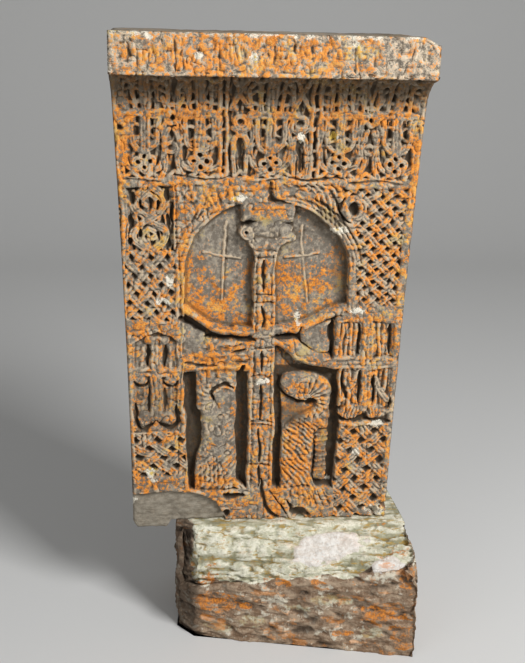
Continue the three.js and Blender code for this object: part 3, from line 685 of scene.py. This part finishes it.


# where lichen, dirt and painted shade lie: x, z, half width, half height and, after them, how much

growth = {
    "pale": (
        (-204, 1464, 13, 10), (-58, 1462, 10, 12), (-330, 1508, 10, 7), (212, 1496, 10, 9),
        (-86, 1014, 22, 9), (212, 922, 26, 13), (-342, 166, 15, 12), (-330, 140, 12, 7),
        (288, 228, 16, 11), (202, 124, 16, 7), (-300, 712, 22, 9), (-280, 776, 9, 18), (96, 656, 9, 16),
        (-6, 462, 22, 9), (176, 1190, 12, 10), (345, 318, 22, 8), (84, 1186, 10, 14), (-395, 70, 9, 10),
        (268, 682, 22, 8), (360, 20, 30, 16)),
    # painted shade, with some dirt: grounds darkened where shadow falls
    "shadeAndDirt": (
        (92, 352, 48, 40, 0.7), (184, 212, 18, 84, 0.5), (212, 300, 20, 190, 0.5),
        (0, 1180, 430, 90, 0.20), (-214, 320, 20, 170, 0.45), (218, 800, 24, 110, 0.6),
        (160, 950, 50, 30, 0.5), (-322, 400, 66, 70, 0.35), (-46, 760, 14, 110, 0.5),
        (-340, 1000, 66, 40, 0.2)),
    "orange": (
        (330, 850, 120, 300, 0.01), (130, 260, 80, 200, 0.06), (330, 150, 120, 200, 0.02),
        (-420, 1150, 40, 120, 0.12), (430, 1050, 40, 160, 0.12), (0, 1240, 440, 26, 0.08),
        (-110, 910, 100, 90, -0.14), (80, 910, 140, 80, -0.18), (-160, 860, 80, 90, -0.10),
        (-170, 700, 90, 40, 0.10), (-236, 800, 22, 120, 0.16), (110, 730, 90, 80, 0.06),
        (-150, 320, 60, 150, -0.11), (-212, 600, 40, 46, -0.26), (150, 600, 45, 40, -0.14),
        (-330, 730, 80, 260, -0.03), (350, 1460, 100, 60, -0.04), (-80, 1465, 300, 60, 0.09),
        (0, 1046, 420, 24, 0.02), (8, 926, 60, 24, -0.40), (0, 972, 70, 30, 0.14),
        (-150, 530, 100, 40, 0.10), (-170, 1000, 90, 50, 0.06), (150, 1020, 90, 40, 0.06),
        (-100, 650, 130, 30, 0.08), (-160, 120, 80, 30, 0.10), (40, 40, 40, 60, 0.12)),
    "orangeAll": 0.50, "orangeHidden": 0.42,
}


def paleSpots(x, z):
    # crusts of white and yellow lichen
    spots = 0.0 * x
    for px, pz, halfX, halfZ in growth["pale"]:
        away = np.hypot((x - px) / halfX, (z - pz) / halfZ) + 0.45 * noise(x, z, 9, 63)
        spots = np.maximum(spots, smooth(1.25 - away, 0, 0.35))
    rim = smooth(z + 9 * noise(x, z, 13, 64), sheetTop - 11, sheetTop - 3)
    rim = rim * smooth(noise(x, z, 24, 65), -0.4, 0.2)
    end = smooth(-x + 14 * noise(z, x, 30, 66), 420, 436) * (z > corniceStart)
    return np.maximum(spots * 0.9, np.maximum(rim * 0.75, end * 0.6))


def shadeAndDirtSpots(x, z):
    # painted shade with some dirt: the hollow under the cornice and deep grounds, such as the right edge of
    # the niche, beside the stem and beside the leaves, are darkened where shadow falls
    # painted shadow of the cornice over the hollow below it
    shadeAndDirt = smooth(z, 1250, 1316) * smooth(corniceStart + 2 - z, 0, 6)
    for px, pz, halfX, halfZ, amount in growth["shadeAndDirt"]:
        away = np.hypot((x - px) / halfX, (z - pz) / halfZ) + 0.2 * noise(x, z, 20, 67)
        shadeAndDirt = np.maximum(shadeAndDirt, amount * smooth(1.2 - away, 0, 0.45))
    return shadeAndDirt


def zones(x, z):
    # how thickly the orange lichen grows
    grow = growth["orangeAll"] + 0.0 * x
    for px, pz, halfX, halfZ, amount in growth["orange"]:
        away = np.hypot((x - px) / halfX, (z - pz) / halfZ)
        grow = grow + amount * smooth(1.3 - away, 0, 0.7)
    return grow + 0.05 * noise(x, z, 60, 61)


# the slab: a dense sheet pushed back into a block, then carved by moving its points

def carvedSheet():
    u = np.linspace(-1, 1, slab["columns"] + 1)[None, :]
    z = np.linspace(0, sheetTop, slab["rows"] + 1)[:, None] + 0 * u
    x = u * halfWidth(z)
    cell = sheetTop / slab["rows"]
    r = Relief(x, z)
    carveTier(r)
    carveArch(r)
    carveCross(r)
    carveLeaves(r)
    carveBands(r)
    carveCornice(r)
    bare, chip = weather(r, x, z, cell)
    edge = halfWidth(z) - np.abs(x)
    r.depth += 7 * np.clip(1 - edge / (9 + 5 * noise(z, x, 55, 27)), 0, 1) ** 2
    lip = np.minimum(np.abs(z - corniceStart), sheetTop - z)
    r.depth += 6 * np.clip(1 - lip / (7 + 5 * noise(x, z, 45, 28)), 0, 1) ** 2 * (z > corniceStart - 14)
    depth = r.depth
    reach = int(round(slab["slitReach"] / cell))
    near = int(round(slab["ridgeReach"] / cell))
    # slit marks narrow deep grooves and hollow marks recesses, both painted dark as shade by the stone
    # material; ridge marks narrow crests, partly painted as a highlight
    slit = (depth - deepest(shallowest(depth, reach), reach)) / 15
    slit = np.maximum(slit, smooth(depth, 23, 33) * smooth(508 - z, 0, 8))   # the grooves round the leaves
    ridge = (shallowest(deepest(depth, near), near) - depth) / 6
    marks = {"slit": np.clip(slit, 0, 1), "ridge": np.clip(ridge, 0, 1),
             "hollow": np.clip((depth - blur(depth, 4 / cell)) / 3.5, -1, 1),
             "bare": np.maximum(bare, 0.6 * chip), "grow": zones(x, z), "pale": paleSpots(x, z),
             "shadeAndDirt": shadeAndDirtSpots(x, z), "corniceFace": smooth(z, corniceStart - 2, corniceStart + 6)}
    return x, z, depth, marks


def profile(z):
    # where the uncut face lies, and which way is into the stone
    turn = np.clip((z - coveBottom) / coveRun, 0, 1) * math.pi / 2
    onCornice = z > corniceStart
    y = -slab["corniceReach"] * (1 - np.cos(turn))
    up = np.where(z < coveBottom, z, coveBottom + slab["coveHeight"] * np.sin(turn))
    up = np.where(onCornice, corniceBottom + z - corniceStart, up)
    inY = np.where(onCornice, 1.0, np.cos(turn))
    inZ = np.where(onCornice, 0.0, np.sin(turn))
    return y, up, inY, inZ


def setAttribute(mesh, name, values):
    mesh.attributes.new(name, "FLOAT", "POINT").data.foreach_set("value", values.astype(np.float32))


def readPoints(mesh):
    points = np.empty(len(mesh.vertices) * 3, dtype=np.float32)
    mesh.vertices.foreach_get("co", points)
    return points.reshape(-1, 3)


def blankSlab():
    # the sheet, its sides drawn back from the rim, and a plainer back that closes them
    bpy.ops.object.select_all(action="DESELECT")
    bpy.ops.mesh.primitive_grid_add(x_subdivisions=slab["columns"], y_subdivisions=slab["rows"], size=2)
    piece = bpy.context.object
    piece.name = piece.data.name = "carvedSlab"
    bpy.ops.object.mode_set(mode="EDIT")
    bpy.ops.mesh.select_mode(type="EDGE")
    bpy.ops.mesh.select_all(action="SELECT")
    bpy.ops.mesh.region_to_loop()
    for _ in range(slab["walls"]):
        bpy.ops.mesh.extrude_edges_move(TRANSFORM_OT_translate={"value": (0, 0, -1)})
    bpy.ops.mesh.primitive_grid_add(x_subdivisions=slab["backColumns"], y_subdivisions=slab["backRows"],
                                    size=2, location=(0, 0, -slab["walls"] - 1))
    bpy.ops.mesh.select_all(action="DESELECT")
    bpy.ops.mesh.select_non_manifold()
    bpy.ops.mesh.bridge_edge_loops()
    bpy.ops.mesh.select_all(action="SELECT")
    bpy.ops.mesh.normals_make_consistent(inside=False)
    bpy.ops.object.mode_set(mode="OBJECT")
    return piece


def makeSlab():
    piece = blankSlab()
    mesh = piece.data
    x, z, depth, marks = carvedSheet()
    print("khachkar: carving worked out")
    place = readPoints(mesh)
    col = np.rint((place[:, 0] + 1) / 2 * slab["columns"]).astype(int)
    row = np.rint((place[:, 1] + 1) / 2 * slab["rows"]).astype(int)
    behind = np.clip(-place[:, 2] / slab["walls"], 0, 1) * slab["wallShare"]
    rear = place[:, 2] < -slab["walls"] - 0.5
    behind = np.where(rear, 1.0, behind)
    front = behind < 0.001

    px, pz, pd = x[row, col], z[row, col], depth[row, col]
    y, up, inY, inZ = profile(pz)
    # the foot hangs lower at the left, where it stands free of the plinth
    foot = slab["footHang"] + 4 * noise(px, 0 * px, 30, 33)
    foot = foot * smooth(px, slab["footLeft"], slab["footLeft"] + 22)
    foot = foot * smooth(-px, -slab["footRight"], 20 - slab["footRight"])
    worn = 6 * np.abs(noise(px, 0 * px, 38, 35)) * (px > slab["footRight"])
    up = up + (worn - foot) * smooth(70 - pz, 0, 70)
    corner = np.clip(px - (slab["headHalf"] - slab["cornerLost"]), 0, None) * slab["cornerSlope"]
    corner = corner + 3 * noise(px, pz, 40, 34) * (px > 390)
    rise = np.clip((pz - corniceStart) / slab["corniceHeight"], 0, 1)
    up = up - corner * rise * (1 - 0.7 * behind)
    frontY = y + pd * inY
    frontZ = up + pd * inZ
    backY = slab["thickness"] - 7 + 5 * roughNoise(px, pz, 90, 41) + 3 * roughNoise(px, pz, 40, 43)
    newY = frontY + (backY - frontY) * behind
    newZ = frontZ + (up - frontZ) * behind
    dent = 3.0 + 4.0 * roughNoise(newY * 1.3, newZ, 70, 45) + 2.0 * roughNoise(newY, newZ, 22, 47)
    side = np.abs(place[:, 0]) > 0.999
    newX = px - np.sign(px) * np.where(side, np.clip(dent, 0, None) * smooth(behind, 0, 0.12), 0)
    newX = np.where(rear, newX * slab["rearTaper"], newX)
    top = place[:, 1] > 0.999
    newZ = newZ - np.where(top, np.abs(3.5 * roughNoise(newX, newY, 60, 49)) * smooth(behind, 0, 0.1), 0)
    newZ = np.where(rear & top, newZ - slab["rearDrop"], newZ)
    world = np.stack([axisX + newX * mm, faceY + newY * mm, baseZ + newZ * mm], axis=1)
    mesh.vertices.foreach_set("co", world.astype(np.float32).ravel())
    for name, values in marks.items():
        hiddenValue = growth["orangeHidden"] if name == "grow" else 0.0
        setAttribute(mesh, name, np.where(front, values[row, col], hiddenValue))
    setAttribute(mesh, "hidden", smooth(behind, 0.02, 0.3))
    mesh.update()

    thin = piece.modifiers.new("thin", "DECIMATE")
    thin.ratio = slab["triangles"] / sum(len(p.vertices) - 2 for p in mesh.polygons)
    thin.use_collapse_triangulate = True
    bpy.ops.object.modifier_apply(modifier="thin")
    bpy.ops.object.shade_smooth()
    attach(piece, "root")
    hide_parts("cross_slab")
    print("khachkar: slab done,", len(piece.data.polygons), "triangles")
    return piece


# plinth: a rough block with a broken shoulder in front

plinth = {
    "height": 350, "right": 449, "back": 257, "left": -278, "cornerX": -222, "cornerY": -110,
    "shoulderY": -43,
    "backTaper": 22, "dropLeft": 196, "dropRight": 44, "corner": 0.12, "seat": 22, "power": 1.3,
    "cuts": 100,
    "crowd": 1.6,   # rows of points stand closer together at the front
    # middle and half size of the patches: white scars on top, orange lichen, pale lichen on the front
    "scars": ((195, -115, 104, 46), (350, -214, 44, 36)),
    "rust": ((-150, 132, 74, 34), (-176, 84, 40, 18), (28, 204, 48, 18), (158, 216, 28, 18),
             (413, 255, 32, 38), (324, 131, 70, 32), (405, 90, 34, 80), (-60, 118, 30, 12),
             (230, 60, 44, 14)),
    "rustTop": ((392, -176, 60, 20), (-170, -92, 50, 10), (-20, -150, 60, 10)),
    "lime": ((-41, 70, 58, 22), (313, 70, 34, 20), (194, 166, 60, 20), (90, 130, 44, 16),
             (-150, 40, 50, 16)),
}


def patches(a, b, spots, key):
    cover = 0.0 * a
    for pa, pb, halfA, halfB in spots:
        away = np.hypot((a - pa) / halfA, (b - pb) / halfB) + 0.35 * roughNoise(a * 0.7, b * 1.3, 26, key)
        cover = np.maximum(cover, smooth(1.2 - away, 0, 0.4))
    return cover


def plinthShape(u, v, w):
    p = plinth
    share = np.clip(u / p["corner"], 0, 1)
    along = np.clip((u - p["corner"]) / (1 - p["corner"]), 0, 1)
    frontX = p["left"] + (p["cornerX"] - p["left"]) * share + (p["right"] - p["cornerX"]) * along
    frontY = p["shoulderY"] + (p["cornerY"] - p["shoulderY"]) * share + (-p["back"] - p["cornerY"]) * along
    backX = p["left"] + p["backTaper"] + (p["right"] - p["left"] - 2 * p["backTaper"]) * u
    x = frontX + (backX - frontX) * v
    y = frontY + (p["back"] - frontY) * v
    start = faceY / mm - p["seat"]
    broken = np.clip((start - y) / (start - frontY), 0, 1)
    drop = (p["dropLeft"] + (p["dropRight"] - p["dropLeft"]) * u) * broken ** p["power"]
    return x, y, (p["height"] - drop) * w, broken


def makePlinth():
    bpy.ops.object.select_all(action="DESELECT")
    bpy.ops.mesh.primitive_cube_add(size=2)
    piece = bpy.context.object
    piece.name = piece.data.name = "roughPlinth"
    bpy.ops.object.mode_set(mode="EDIT")
    bpy.ops.mesh.select_all(action="SELECT")
    bpy.ops.mesh.subdivide(number_cuts=plinth["cuts"])
    bpy.ops.object.mode_set(mode="OBJECT")
    mesh, p = piece.data, plinth
    u, v, w = ((readPoints(mesh) + 1) / 2).T
    v = v ** p["crowd"]
    x, y, z, broken = plinthShape(u, v, w)
    mesh.vertices.foreach_set("co", (np.stack([x, y, z], axis=1) * mm).astype(np.float32).ravel())
    mesh.update()
    normal = np.empty(len(mesh.vertices) * 3, dtype=np.float32)
    mesh.vertex_normals.foreach_get("vector", normal)
    normal = normal.reshape(-1, 3)

    # beds that dip to the right, lumps, and a crust on top
    along, layer = x * 0.98 - z * 0.2, z * 0.98 + x * 0.2
    split = roughNoise(along * 0.5 + y * 0.5, layer, 34, 71)
    split = split + 0.7 * roughNoise(along * 0.7 + y, layer, 14, 73)
    lump = roughNoise(x + y * 0.5, z + y * 0.6, 110, 75)
    top = smooth(w, 0.985, 1.0)
    slant = (y + z) * 1.15 + x * 0.16   # down the shoulder
    # cracks between flakes of crust, large and small
    flake = 1 - np.abs(noise(x * 0.35 + 12 * noise(x, y, 50, 87), slant, 24, 89))
    scale = 1 - np.abs(noise(x * 0.5 + 8 * noise(x, y, 24, 103), slant, 13, 105))
    crust = 9.0 * roughNoise(x * 0.4, slant, 38, 77) + 6.0 * roughNoise(x * 0.5, slant, 18, 79)
    crust = crust + 5.0 * roughNoise(x * 0.8, slant, 10, 93) - 3.0
    crust = crust - 10.0 * smooth(flake, 0.70, 0.96) - 7.0 * smooth(scale, 0.68, 0.96)
    scar = patches(x, y, p["scars"], 95) * top
    crust = crust * (1 - 0.6 * scar) + 5.0 * scar
    face = 10.0 * split + 5.0 * roughNoise(x + y, z, 26, 81)
    rough = 9 * lump + face * (1 - top) + crust * top
    rim = np.clip(1 - (1 - w) * 12, 0, 1) * np.clip(1 - v * 6, 0, 1)
    sides = np.clip(1 - np.minimum(u, 1 - u) * 26, 0, 1) * np.clip(1 - np.minimum(v, 1 - v) * 22, 0, 1)
    corner = np.clip(1 - (1 - u) * 12, 0, 1) * np.clip(1 - v * 9, 0, 1) * np.clip(1 - (1 - w) * 5, 0, 1)
    rough = np.clip(rough - 4, -30, 7) - 16 * rim ** 1.5 - 9 * sides - 20 * corner
    rough = np.where(u > 0.985, np.minimum(rough, -3), rough)   # the right end has no lip
    seat = np.where(top > 0.5, smooth(broken, 0.02, 0.25), 1.0)
    move = normal * (rough * seat)[:, None]
    x, y = x + move[:, 0], y + move[:, 1]
    x = np.minimum(x, p["right"] - 7 + 5 * roughNoise(y, z, 40, 107))
    z = np.where(w < 1e-4, 0, z + move[:, 2])
    z = np.clip(z, 0, plinth["height"])
    mesh.vertices.foreach_set("co", (np.stack([x, y, z], axis=1) * mm).astype(np.float32).ravel())
    below = np.where(top > 0.5, -v * 2 * p["back"], (1 - w) * p["height"])   # how far under the front edge
    # the left side of the plinth, which the stone material paints dark as shade
    flank = smooth(-x - 0.25 * y + 10 * noise(z, y, 40, 91), 222, 250)
    drip = 16 + 46 * roughNoise(x, z + y, 58, 85) - 34 * smooth(x, 270, 340)
    # how deep each point is sunk in the rough surface, which the stone material paints dark as shade
    hollow = np.where(top > 0.5, -crust, -face) / 12
    front = smooth(-normal[:, 1], 0.3, 0.6)
    setAttribute(mesh, "crust", smooth(drip - below, 0, 24) * (1 - flank))
    setAttribute(mesh, "hollow", np.clip(hollow, -1, 1))
    setAttribute(mesh, "flank", flank)
    setAttribute(mesh, "scar", scar)
    setAttribute(mesh, "rust", np.maximum(patches(x, z, p["rust"], 97) * front,
                                          patches(x, y, p["rustTop"], 99) * top))
    setAttribute(mesh, "lime", patches(x, z, p["lime"], 101) * front)
    mesh.update()
    bpy.ops.object.shade_smooth()
    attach(piece, "root")
    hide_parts("plinth_block")
    print("khachkar: plinth done,", len(mesh.polygons) * 2, "triangles")
    return piece


# shader maths written as plain expressions

class Value:
    def __init__(self, make, socket):
        self.make, self.socket = make, socket

    def math(self, operation, a, b):
        return self.make.node("ShaderNodeMath", {"operation": operation}, {0: a, 1: b})

    def __add__(self, other):
        return self.math("ADD", self, other)

    def __radd__(self, other):
        return self.math("ADD", other, self)

    def __sub__(self, other):
        return self.math("SUBTRACT", self, other)

    def __rsub__(self, other):
        return self.math("SUBTRACT", other, self)

    def __mul__(self, other):
        return self.math("MULTIPLY", self, other)

    def __rmul__(self, other):
        return self.math("MULTIPLY", other, self)


class Finish:
    def __init__(self, name):
        self.material = bpy.data.materials.new(name)
        self.material.use_nodes = True
        self.nodes = self.material.node_tree.nodes
        self.links = self.material.node_tree.links
        self.shader = self.nodes["Principled BSDF"]
        self.place = self.node("ShaderNodeTexCoord", {}, {}, "Object")

    def node(self, kind, settings, inputs, output=0):
        made = self.nodes.new(kind)
        for name, value in settings.items():
            setattr(made, name, value)
        for name, value in inputs.items():
            self.feed(made.inputs[name], value)
        return Value(self, made.outputs[output])

    def feed(self, socket, value):
        if isinstance(value, Value):
            self.links.new(value.socket, socket)
        elif isinstance(value, tuple) and socket.type == "RGBA":
            socket.default_value = (*value, 1)
        else:
            socket.default_value = value

    def attribute(self, name):
        return self.node("ShaderNodeAttribute", {"attribute_name": name}, {}, "Fac")

    def noise(self, scale, detail=4.0, rough=0.6, stretch=(1, 1, 1), turn=(0, 0, 0)):
        place = self.node("ShaderNodeMapping", {}, {"Vector": self.place, "Scale": stretch,
                                                    "Rotation": turn})
        return self.node("ShaderNodeTexNoise", {},
                         {"Vector": place, "Scale": scale, "Detail": detail, "Roughness": rough})

    def step(self, value, low, high):
        return self.node("ShaderNodeMapRange", {"interpolation_type": "SMOOTHSTEP"},
                         {"Value": value, "From Min": low, "From Max": high})

    def mix(self, factor, a, b, how="MIX"):
        return self.node("ShaderNodeMix", {"data_type": "RGBA", "blend_type": how},
                         {0: factor, 6: a, 7: b}, 2)

    def done(self, colour, rough, height, strength, distance):
        bump = self.node("ShaderNodeBump", {}, {"Height": height, "Strength": strength,
                                                "Distance": distance})
        self.feed(self.shader.inputs["Base Color"], colour)
        self.feed(self.shader.inputs["Roughness"], rough)
        self.feed(self.shader.inputs["Normal"], bump)
        self.shader.inputs["Specular IOR Level"].default_value = 0.25
        return self.material


# slab colours: the brown and the near-black are painted shade in hollows, grooves and under the cornice,
# and the tan is partly a painted highlight on the crests
slabLook = {
    "greyDark": (0.170, 0.145, 0.115), "greyPale": (0.360, 0.315, 0.250), "tan": (0.58, 0.46, 0.32),
    "orangeDeep": (0.40, 0.125, 0.018), "orange": (0.86, 0.290, 0.020), "amber": (0.80, 0.42, 0.10),
    "yellow": (0.70, 0.50, 0.10), "white": (0.80, 0.76, 0.64), "slitShade": (0.052, 0.038, 0.025),
    "bare": (0.330, 0.295, 0.235),
    "bareDark": (0.170, 0.145, 0.108), "brown": (0.085, 0.052, 0.024), "blush": (0.74, 0.61, 0.45),
}


def slabStone():
    c, f = slabLook, Finish("slabStone")
    coarse = f.noise(14, 4)
    blotch = f.noise(36, 5, 0.62)
    medium = f.noise(85, 5, 0.65)
    fine = f.noise(230, 4, 0.7)
    slit, ridge, hollow = f.attribute("slit"), f.attribute("ridge"), f.attribute("hollow")
    bare, grow, shadeAndDirt, pale = [f.attribute(name) for name in ("bare", "grow", "shadeAndDirt", "pale")]
    colour = f.mix(f.step(medium + (coarse - 0.5) * 0.5, 0.36, 0.66), c["greyDark"], c["greyPale"])
    # tan along narrow raised strands: partly paler worn stone, partly a painted highlight on the crests
    crest = f.step(ridge + (medium - 0.5) * 1.2 + (fine - 0.5) * 0.8, 0.15, 0.75)
    colour = f.mix(crest * (0.85 - shadeAndDirt * 0.45), colour, c["tan"])
    # the cornice face is painted a paler blush
    colour = f.mix(f.attribute("corniceFace") * f.step(medium + (fine - 0.5) * 0.6, 0.36, 0.60) * 0.8,
                   colour, c["blush"])
    # orange lichen in blotches, thicker on the raised carving
    patch = blotch * 0.7 + medium * 0.7 - 0.2 + (grow - 0.5) * 0.62 + ridge * 0.04 + (fine - 0.5) * 0.45
    lichen = f.step(patch, 0.50, 0.60) * (1 - bare * 0.85) * (1 - shadeAndDirt * 0.35)
    orange = f.mix(f.step(fine * 0.6 + medium * 0.4 + ridge * 0.08, 0.38, 0.62),
                   c["orangeDeep"], c["orange"])
    orange = f.mix(f.step(f.noise(120, 4, 0.7) + (coarse - 0.5) * 0.6, 0.50, 0.62) * 0.7,
                   orange, c["amber"])
    colour = f.mix(lichen * 0.90, colour, orange)
    gold = f.step(coarse + (fine - 0.5) * 0.5 + (medium - 0.5) * 0.4, 0.60, 0.68) * (1 - bare)
    colour = f.mix(gold * 0.38, colour, c["yellow"])
    barePaint = f.mix(f.step(f.noise(30, 6, 0.7, (1, 1, 2.6), (0, 0.1, 0)), 0.34, 0.66),
                      c["bareDark"], c["bare"])
    colour = f.mix(bare * 0.9, colour, barePaint)
    # painted shade in the hollows and under the cornice, mixed with some dirt on the deep grounds
    colour = f.mix(f.step(hollow + (fine - 0.5) * 0.5, 0.10, 0.9) * 0.62 * (1 - bare * 0.6),
                   colour, c["brown"])
    colour = f.mix(shadeAndDirt * f.step(medium, 0.20, 0.58) * 0.82, colour, c["brown"])
    # painted shade: narrow deep grooves and the voids between straps are painted near black, where shadow
    # falls in them
    colour = f.mix(f.step(slit, 0.18, 0.80) * 0.90 * (1 - bare), colour, c["slitShade"])
    # hidden sides are plainer, stained stone
    stain = f.mix(f.step(f.noise(5, 6, 0.62) + (medium - 0.5) * 0.25, 0.38, 0.62),
                  c["bareDark"], c["greyPale"])
    colour = f.mix(f.attribute("hidden") * (0.85 - lichen * 0.35), colour, stain)
    crust = f.mix(f.step(coarse + (medium - 0.5) * 0.6, 0.58, 0.66), c["white"], c["yellow"])
    speck = f.step(pale * 0.75 + (fine - 0.5) * 2.0 + (medium - 0.5) * 0.8, 0.36, 0.62)
    colour = f.mix(speck * f.step(pale, 0.05, 0.3) * 0.9, colour, crust)
    height = fine * 0.5 + medium * 0.8 + lichen * 0.12
    return f.done(colour, 0.86 + fine * 0.12, height, 0.7, 0.004)


plinthLook = {
    "pale": (0.58, 0.57, 0.42), "cream": (0.90, 0.87, 0.72), "green": (0.24, 0.23, 0.13),
    "brown": (0.22, 0.140, 0.086),
    "dark": (0.050, 0.035, 0.025), "tan": (0.44, 0.33, 0.23), "orange": (0.78, 0.27, 0.03),
    "ochre": (0.46, 0.29, 0.06),
    "orangeDeep": (0.36, 0.13, 0.03), "blush": (0.76, 0.69, 0.62), "chalk": (0.94, 0.91, 0.86),
}


def plinthStone():
    c, f = plinthLook, Finish("plinthStone")
    coarse, medium, fine = f.noise(10, 5), f.noise(42, 6, 0.65), f.noise(150, 5, 0.7)
    streak = f.noise(24, 6, 0.68, (0.8, 1.0, 1.7), (0.0, 0.2, 0.0))
    crust, hollow, flank = f.attribute("crust"), f.attribute("hollow"), f.attribute("flank")
    stone = f.mix(f.step(streak + (fine - 0.5) * 0.4, 0.38, 0.62), c["brown"], c["tan"])
    stone = f.mix(f.step(medium + (coarse - 0.5) * 0.8, 0.54, 0.66) * 0.6, stone, c["cream"])
    # painted shade: hollows and cracks of the rough faces are painted dark
    stone = f.mix(f.step(hollow + (medium - 0.5), 0.10, 0.85) * 0.8, stone, c["dark"])
    pale = f.mix(f.step(medium + (fine - 0.5) * 0.5, 0.36, 0.60), c["pale"], c["cream"])
    # cracks in the crust turn dark green, partly green growth and partly painted shade
    pale = f.mix(f.step(hollow + (medium - 0.5) * 1.6 + (fine - 0.5) * 0.8, 0.45, 1.15) * 0.9,
                 pale, c["green"])
    pale = f.mix(f.step(f.noise(34, 6, 0.7, (0.6, 2, 2)) + hollow * 0.08, 0.58, 0.66) * 0.8,
                 pale, c["ochre"])
    cover = f.step(crust + (medium - 0.5) * 1.1 + (fine - 0.5) * 0.4, 0.30, 0.56)
    lime = f.mix(f.step(medium, 0.40, 0.60), c["ochre"], c["pale"])
    limed = f.step(f.attribute("lime") * 0.5 + (streak - 0.5) * 1.6 + (medium - 0.5) * 1.2, 0.32, 0.70)
    stone = f.mix(limed * 0.7, stone, lime)
    colour = f.mix(cover, stone, pale)
    scar = f.mix(f.step(medium + (fine - 0.5) * 0.4, 0.40, 0.60), c["blush"], c["chalk"])
    colour = f.mix(f.step(f.attribute("scar") + (medium - 0.5) * 0.8, 0.40, 0.60) * 0.95, colour, scar)
    rust = f.step(f.noise(15, 5, 0.6, (0.7, 1, 1.6)) + (medium - 0.5) * 0.5, 0.57, 0.64)
    edge = f.step(crust, 0.02, 0.5) * (1 - f.step(crust, 0.75, 0.98))
    placed = f.attribute("rust") * 0.42 + (streak - 0.5) * 2.0 + (medium - 0.5) * 1.2 + (fine - 0.5) * 0.5
    placed = f.step(placed, 0.32, 0.60)
    colour = f.mix(rust * (0.45 - cover * 0.35 + edge * 0.4), colour, c["orange"])
    colour = f.mix(placed * 0.9, colour, f.mix(f.step(fine, 0.40, 0.60), c["orangeDeep"], c["orange"]))
    # painted shade: the left side of the plinth, turned from the key light, is painted dark
    colour = f.mix(flank * 0.72 * f.step(medium, 0.25, 0.5), colour, c["dark"])
    height = fine * 0.5 + medium + streak * 0.8
    return f.done(colour, 0.88 + fine * 0.1, height, 0.85, 0.010)


# floor, light and camera

studio = {
    "floor": (0.66, 0.66, 0.65), "floorSize": 14.0, "sweep": 2.5, "wall": 7.0, "sky": 0.24,
    "key": {"place": (2.9, -3.5, 4.3), "size": 1.8, "power": 330.0},
    "fill": {"place": (-3.6, -3.8, 2.4), "size": 3.0, "power": 40.0},
    "aim": (0.0, 0.0, 0.95),
}
view = {   # where the photographer stood, in mm from the slab's foot, and the turn of the camera in degrees
    "place": (-295.2, -2778.8, 1537.0), "yaw": 5.87, "pitch": 18.17, "roll": 1.46,
    "focal": 1000.0, "frameHeight": 663.0,
}


def makeFloor():
    bpy.ops.object.select_all(action="DESELECT")
    bpy.ops.mesh.primitive_plane_add(size=studio["floorSize"])
    floor = bpy.context.object
    floor.name = "floor"
    edge = studio["floorSize"] / 2
    bpy.ops.object.mode_set(mode="EDIT")
    bpy.ops.mesh.select_mode(type="EDGE")
    for lift, choose in ((studio["wall"], lambda p: p.y > edge - 0.01),
                         (0.0, lambda p: p.y > edge - 0.01 and p.z < 0.01)):
        bpy.ops.mesh.select_all(action="DESELECT")
        bpy.ops.object.mode_set(mode="OBJECT")
        for line in floor.data.edges:
            line.select = all(choose(floor.data.vertices[k].co) for k in line.vertices)
        bpy.ops.object.mode_set(mode="EDIT")
        if lift:
            bpy.ops.mesh.extrude_edges_move(TRANSFORM_OT_translate={"value": (0, 0, lift)})
        else:
            bpy.ops.mesh.bevel(offset=studio["sweep"], segments=16)
    bpy.ops.object.mode_set(mode="OBJECT")
    bpy.ops.object.shade_smooth()
    paint = bpy.data.materials.new("paleFloor")
    paint.use_nodes = True
    shader = paint.node_tree.nodes["Principled BSDF"]
    shader.inputs["Base Color"].default_value = (*studio["floor"], 1)
    shader.inputs["Roughness"].default_value = 0.95
    floor.data.materials.append(paint)


def makeLights():
    scene = bpy.context.scene
    world = bpy.data.worlds.new("studio")
    world.use_nodes = True
    world.node_tree.nodes["Background"].inputs["Color"].default_value = (1.0, 1.0, 1.0, 1)
    world.node_tree.nodes["Background"].inputs["Strength"].default_value = studio["sky"]
    scene.world = world
    for name in ("key", "fill"):
        lamp = studio[name]
        bpy.ops.object.light_add(type="AREA", location=lamp["place"])
        light = bpy.context.object
        light.name = name
        light.data.size, light.data.energy = lamp["size"], lamp["power"]
        aim = Vector(studio["aim"]) - light.location
        light.rotation_euler = aim.to_track_quat("-Z", "Y").to_euler()
    scene.view_settings.view_transform = "Standard"


def makeCamera():
    x, y, z = (a * mm for a in view["place"])
    spot = (axisX + x, faceY + y, baseZ + z)
    bpy.ops.object.camera_add(location=spot)
    camera = bpy.context.object
    camera.data.sensor_width = 36.0
    camera.data.lens = view["focal"] * 36.0 / view["frameHeight"]
    turn = Matrix.Rotation(-math.radians(view["yaw"]), 4, "Z")
    tilt = Matrix.Rotation(math.radians(90 - view["pitch"]), 4, "X")
    roll = Matrix.Rotation(math.radians(view["roll"]), 4, "Z")
    camera.matrix_world = Matrix.Translation(spot) @ turn @ tilt @ roll
    bpy.context.scene.camera = camera


slabPiece = makeSlab()
slabPiece.data.materials.append(slabStone())
plinthPiece = makePlinth()
plinthPiece.data.materials.append(plinthStone())
makeFloor()
makeLights()
makeCamera()
print("khachkar: studio ready")
